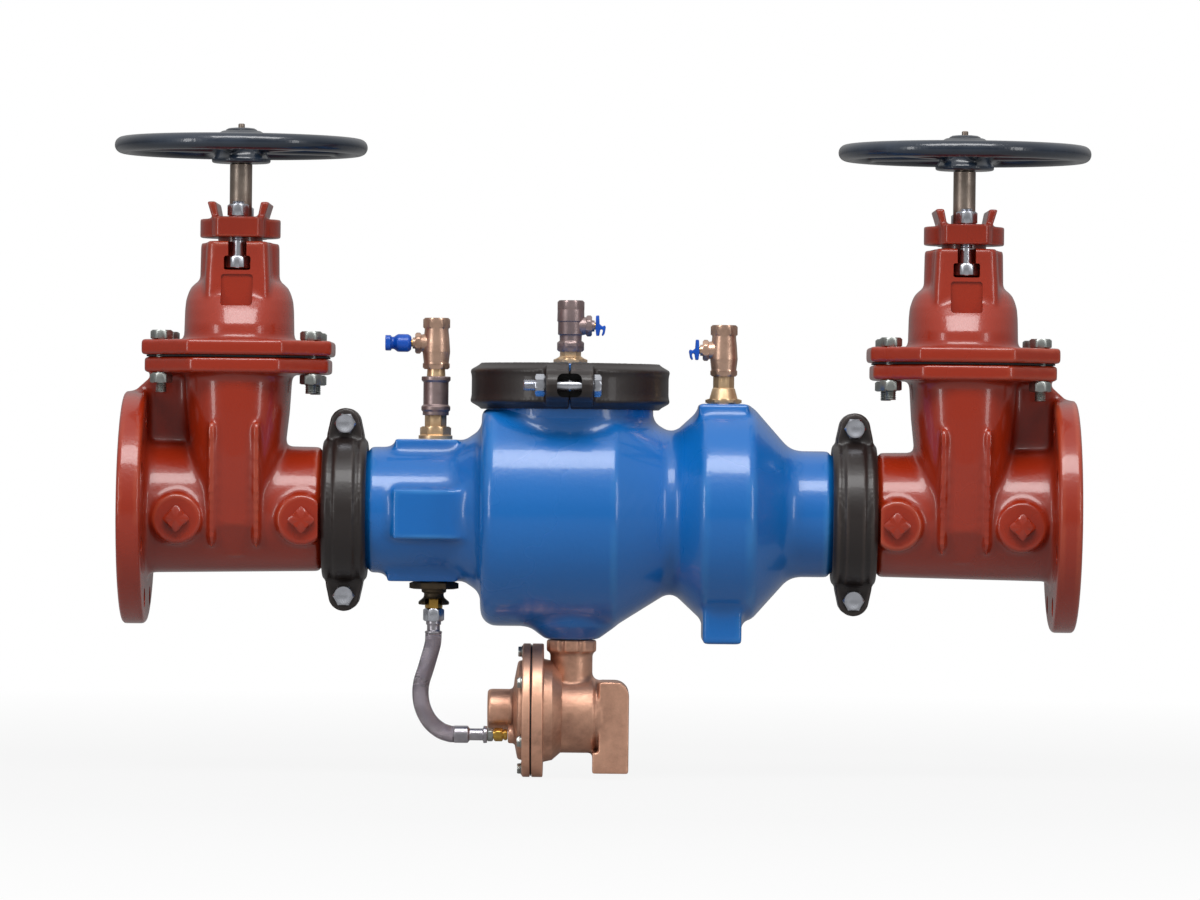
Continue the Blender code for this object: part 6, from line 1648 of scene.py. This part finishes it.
bushing_shape = [(4.6, 0, 0), (4.6, 14.0, 0.5), (3.4, 16.7, 0.4), (0, 16.7, 0.3), (0, 0, 0)]
bushing = welded(turned(eased(bushing_shape), None, 64), hexagonal(26.5, 3.0, 12.4, 0.7))
welded(bushing, hexagonal(18.6, 11.0, 27.0, 0.4))
bored(bushing, COCK_BORE, -5, 40)
bushing.data.transform(riser_place)
keep(bushing, "riser_bushing", "assembly", "brass", fitting_brass, "inlet_cock_riser")
sleeve = [
    (RISER - 6.8, 0, 0), (RISER - 6.8, 13.6, 0.5), (RISER - 7.4, 14.3, 0.4), (RISER - 10.6, 14.3, 0.8),
    (RISER - 12.6, 12.4, 1.2), (RISER - 34.6, 12.4, 1.2), (RISER - 36.4, 14.3, 1.6),
    (RISER - 40.0, 14.3, 1.6), (RISER - 41.4, 12.9, 0.8), (RISER - 45.0, 12.9, 0.6), (RISER - 45.0, 0, 0),
]
sleeve = bored(turned(eased(sleeve), None, 64), 10.3, RISER - 50, RISER - 36)
bored(sleeve, COCK_BORE, -5, 90)
sleeve.data.transform(riser_place)
keep(sleeve, "riser_coupling", "assembly", "cast_bronze", browned_bronze)
nipple = turned([(RISER + 3, 0), (RISER + 3, 8.6), (RISER - 6.6, 9.2), (RISER - 6.6, 0)], None, 48)
bored(nipple, COCK_BORE, -5, 90)
nipple.data.transform(riser_place)
keep(nipple, "riser_nipple", "assembly", "brass", fitting_brass)


# Test cocks
# Three small bronze ball valves: a barrel between two hexagons, a side nut that packs the
# spindle, and a tapped socket on top that stays open for a gauge's hose.
cock_bronze = bare_metal("cock_bronze", rgb(222, 184, 160), rgb(128, 98, 84), 0.34, 0.85, 320.0, 0.00016)
COCK_HEIGHT = 50.5
COCK_AXIS = 25.5
COCK_SOCKET = (8.5, 13.0)
COCK_NUT_FACE = 21.5
BALL_ROOM = 9.8
COCK_THREAD = 1.4
COCKS = {
    "inlet_cock": (-1, 0.0, "bulged", cock_bronze), "cover_cock": (1, 11.5, "ringed", browned_bronze),
    "outlet_cock": (-1, 26.8, "bulged", cock_bronze),
}
COCK_BARRELS = {
    "bulged": [(39.5, 11.8, 0), (37.0, 11.9, 2.0), (30.0, 12.7, 8.0), (17.0, 13.6, 8.0), (7.0, 12.4, 0.5)],
    "ringed": [
        (39.5, 13.2, 0.6), (29.8, 13.4, 0.6), (29.4, 12.6, 0.5), (16.8, 12.6, 0.8), (16.2, 11.0, 0.8),
        (10.6, 10.8, 1.5), (8.0, 12.6, 0.5),
    ],
}


def half_circle(radius, steps):
    """A ball's outline, from its top down."""
    angles = [math.pi * k / steps for k in range(steps + 1)]
    return [(radius * math.cos(angle), radius * math.sin(angle)) for angle in angles]


def cock_casting(side, barrel):
    """Barrel, hexagons and side nut, bored for the water, the ball, the spindle and a gauge."""
    line = COCK_BARRELS[barrel]
    top = line[0][0] + 2
    shape = [(top, 0, 0), (top, line[0][1], 0), *line, (5.0, line[-1][1], 0), (5.0, 0, 0)]
    cock = turned(eased(shape, steps=6), None, 96)
    turn = at(z=COCK_AXIS) @ Matrix.Rotation(side * math.pi / 2, 4, "Y")
    neck = [(16.5, 0, 0), (16.5, 8.2, 0), (9.5, 9.6, 2.0), (4, 9.6, 0), (4, 0, 0)]
    welded(cock, turned(eased(neck), turn, 48))
    bonnet_nut = hexagonal(18.0, 15.0, COCK_NUT_FACE - 0.6, 0.7, turn)
    nut_end = COCK_NUT_FACE + 1.9
    packing_nut = turned([(nut_end, 0), (nut_end, 5.4), (18, 6.0), (18, 0)], turn, 48)
    welded(cock, bonnet_nut, packing_nut)
    foot_top = 10.4 if barrel == "ringed" else 7.0
    welded(cock, hexagonal(23.0, 0, foot_top, 0.8), hexagonal(23.0, COCK_HEIGHT - 11.0, COCK_HEIGHT, 0.8))
    bored(cock, COCK_BORE, -5, 60)
    radius, depth = COCK_SOCKET
    foot = COCK_HEIGHT - depth
    thread = [(COCK_HEIGHT + 3, 0), (COCK_HEIGHT + 3, radius + 1.4), (COCK_HEIGHT - 1.0, radius + 0.6)]
    height = COCK_HEIGHT - 1.0
    while height > foot + 2:
        thread += [(height - COCK_THREAD / 2, radius + 0.05), (height - COCK_THREAD, radius + 0.7)]
        height -= COCK_THREAD
    cut(cock, turned(thread + [(foot, radius), (foot, 0)], None, 48))
    cut(cock, turned(half_circle(BALL_ROOM, 12), at(z=COCK_AXIS), 48))
    return bored(cock, 4.2, 0, COCK_NUT_FACE + 9, turn)


def cock_stack(stack):
    """The hexagon nipple and the flared bushing that carry a cock, below its foot."""
    flare_top = -stack + (7.4 if stack < 20 else 15.5)
    plate = 31.0 if stack > 20 else 29.0
    cone = [
        (flare_top, 0, 0), (flare_top, 10.4, 0.5), (flare_top - 1.0, 11.2, 0.5),
        (-stack + 4.4, 14.6, 0.8), (-stack + 3.2, 14.6, 0.3), (-stack + 3.2, 0, 0),
    ]
    bushing = turned(eased(cone), None, 64, flats=28.0, corners=8)
    welded(bushing, hexagonal(plate, -stack, -stack + 4.6, 0.5), hexagonal(18.0, flare_top - 1, 1.5, 0.3))
    return bored(bushing, COCK_BORE, -stack - 5, 5)


COCK_PLACES = {
    "inlet_cock": inlet_joint + INLET_TAP_X, "cover_cock": inlet_joint + PORT_X,
    "outlet_cock": inlet_joint + OUTLET_TAP_X,
}
for name, (side, stack, barrel, finish) in COCKS.items():
    foot = at(COCK_PLACES[name], 0, extent(f"{name}_body")[1].z - COCK_HEIGHT)
    cock = cock_casting(side, barrel)
    cock.data.transform(foot)
    keep(cock, f"{name}_casting", "assembly", "cast_bronze", finish, f"{name}_body")
    if stack:
        bushing = cock_stack(stack)
        bushing.data.transform(foot)
        keep(bushing, f"{name}_bushing", "assembly", "brass", fitting_brass)


# Cock handles
# A moulded tee of blue vinyl on the inlet cock, and levers pressed from steel strip and dipped
# in the same vinyl on the other two. Each turns the brass spindle and ball behind it.

# Soft vinyl is smooth and a little waxy, with shallow sink marks.
blue = rgb(16, 84, 190)
blue_vinyl, field, spot = new_paint("blue_vinyl")
cloud = noise(field, spot, 120.0, 3.0, 0.55)
tone = (cloud.between(0.35, 0.75) * 0.55).mixed(blue, shade(blue, 0.55))
relief = cloud + noise(field, spot, 900.0) * 0.12
finished(blue_vinyl, field, tone, cloud * 0.2 + 0.2, relief, 0.0002, 0.8)

BALL_RADIUS = 8.6
SPINDLE = 3.6
TEE_BAR = (7.5, 15.0, 44.6, 50.0)
WING = [
    (3.2, 10.3), (6.4, 10.5), (6.9, 2.0), (9.4, -0.2), (12.4, 0.8), (13.0, -1.6), (11.9, -7.4),
    (10.2, -9.8), (8.9, -9.0), (10.0, -5.2), (9.8, -3.2), (7.6, -3.4), (6.6, -9.6), (3.6, -9.6),
    (2.6, -2.0),
]
WING_HALF_WIDTH = 6.5


def ball_and_spindle(turn):
    ball = turned(half_circle(BALL_RADIUS, 24), None, 64)
    cut(ball, rod(COCK_BORE, -15, 15, TOWARDS_VIEWER, 32))
    end = COCK_NUT_FACE + 4.0
    pin = [(end, 0), (end, SPINDLE - 0.6), (end - 0.6, SPINDLE), (7.0, SPINDLE), (7.0, 0)]
    return welded(ball, turned(pin, turn, 32))


def tee_grip(turn):
    """A long-necked tee: hub over the spindle, waist, and a flat bar across."""
    half_height, half_width, low, high = TEE_BAR
    neck = [
        (high - 2, 0, 0), (high - 2, 6.0, 0), (42.0, 6.0, 2.0), (38.0, 8.8, 3.0), (27.5, 8.8, 3.0),
        (24.7, 6.4, 1.0), (24.7, 0, 0),
    ]
    corners = [(-half_height, -half_width), (half_height, -half_width)]
    corners += [(-x, -y) for x, y in corners]
    bar = extruded(eased(corners, 5.0, closed=True), low, high)
    grip = cast(gathered(turned(eased(neck), None, 48), bar), 0.5, 4, 10)
    cut(grip, rod(SPINDLE, 20, 26.2, None, 32))
    grip.data.transform(turn)
    return grip


def wing_lever(side):
    """A strip with its handle folded outwards, seen from its edge."""
    outline = [(side * (COCK_NUT_FACE + out), up) for out, up in WING]
    lever = extruded(eased(outline, 0.9, closed=True), -WING_HALF_WIDTH, WING_HALF_WIDTH, TOWARDS_VIEWER)
    return chamfered(lever, 0.7, 60.0)


for name, (side, _, _, _) in COCKS.items():
    axis = at(COCK_PLACES[name], 0, extent(f"{name}_body")[1].z - COCK_HEIGHT + COCK_AXIS)
    turn = Matrix.Rotation(side * math.pi / 2, 4, "Y")
    ball = ball_and_spindle(turn)
    grip = tee_grip(turn) if name == "inlet_cock" else wing_lever(side)
    for obj in (ball, grip):
        obj.data.transform(axis)
    keep(ball, f"{name}_ball", f"{name}_lever", "brass", brass)
    keep(grip, f"{name}_grip", f"{name}_lever", "blue_vinyl", blue_vinyl, f"{name}_handle")


# Parts inside
# Seals, check valves, wedges and the relief valve's plunger keep their imported shapes, in the
# finishes of the pieces that show. Each spring keeps its imported coil, in zinc plate.
coated_iron = coated("coated_iron", rgb(44, 44, 46), rgb(96, 96, 98), 0.5, 0.00012, 0.15)
SPRINGS = {
    "first_check_spring": ("first_check_travel", 25.0),
    "second_check_spring": ("second_check_travel", 25.0), "relief_spring": ("relief_disc_travel", 7.7),
}
for name, (joint, travel) in SPRINGS.items():
    form = bmesh.new()
    form.from_mesh(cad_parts[name].data)
    bmesh.ops.remove_doubles(form, verts=form.verts, dist=1e-6)
    coil = blank(form, Matrix.Scale(1 / MM, 4))
    keep(coil, f"{name}_coil", "assembly", "zinc_plate", zinc_plate, name)
    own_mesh(coil)

FINISHES = {
    "rubber": rubber, "cast_bronze": cast_bronze, "zinc_plate": zinc_plate, "stem_bronze": stem_bronze,
    "coated_iron": coated_iron,
}
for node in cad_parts.values():
    if not node.hide_render:
        slot = node.material_slots[0]
        slot.material = FINISHES[slot.material.name.split(".")[0]]
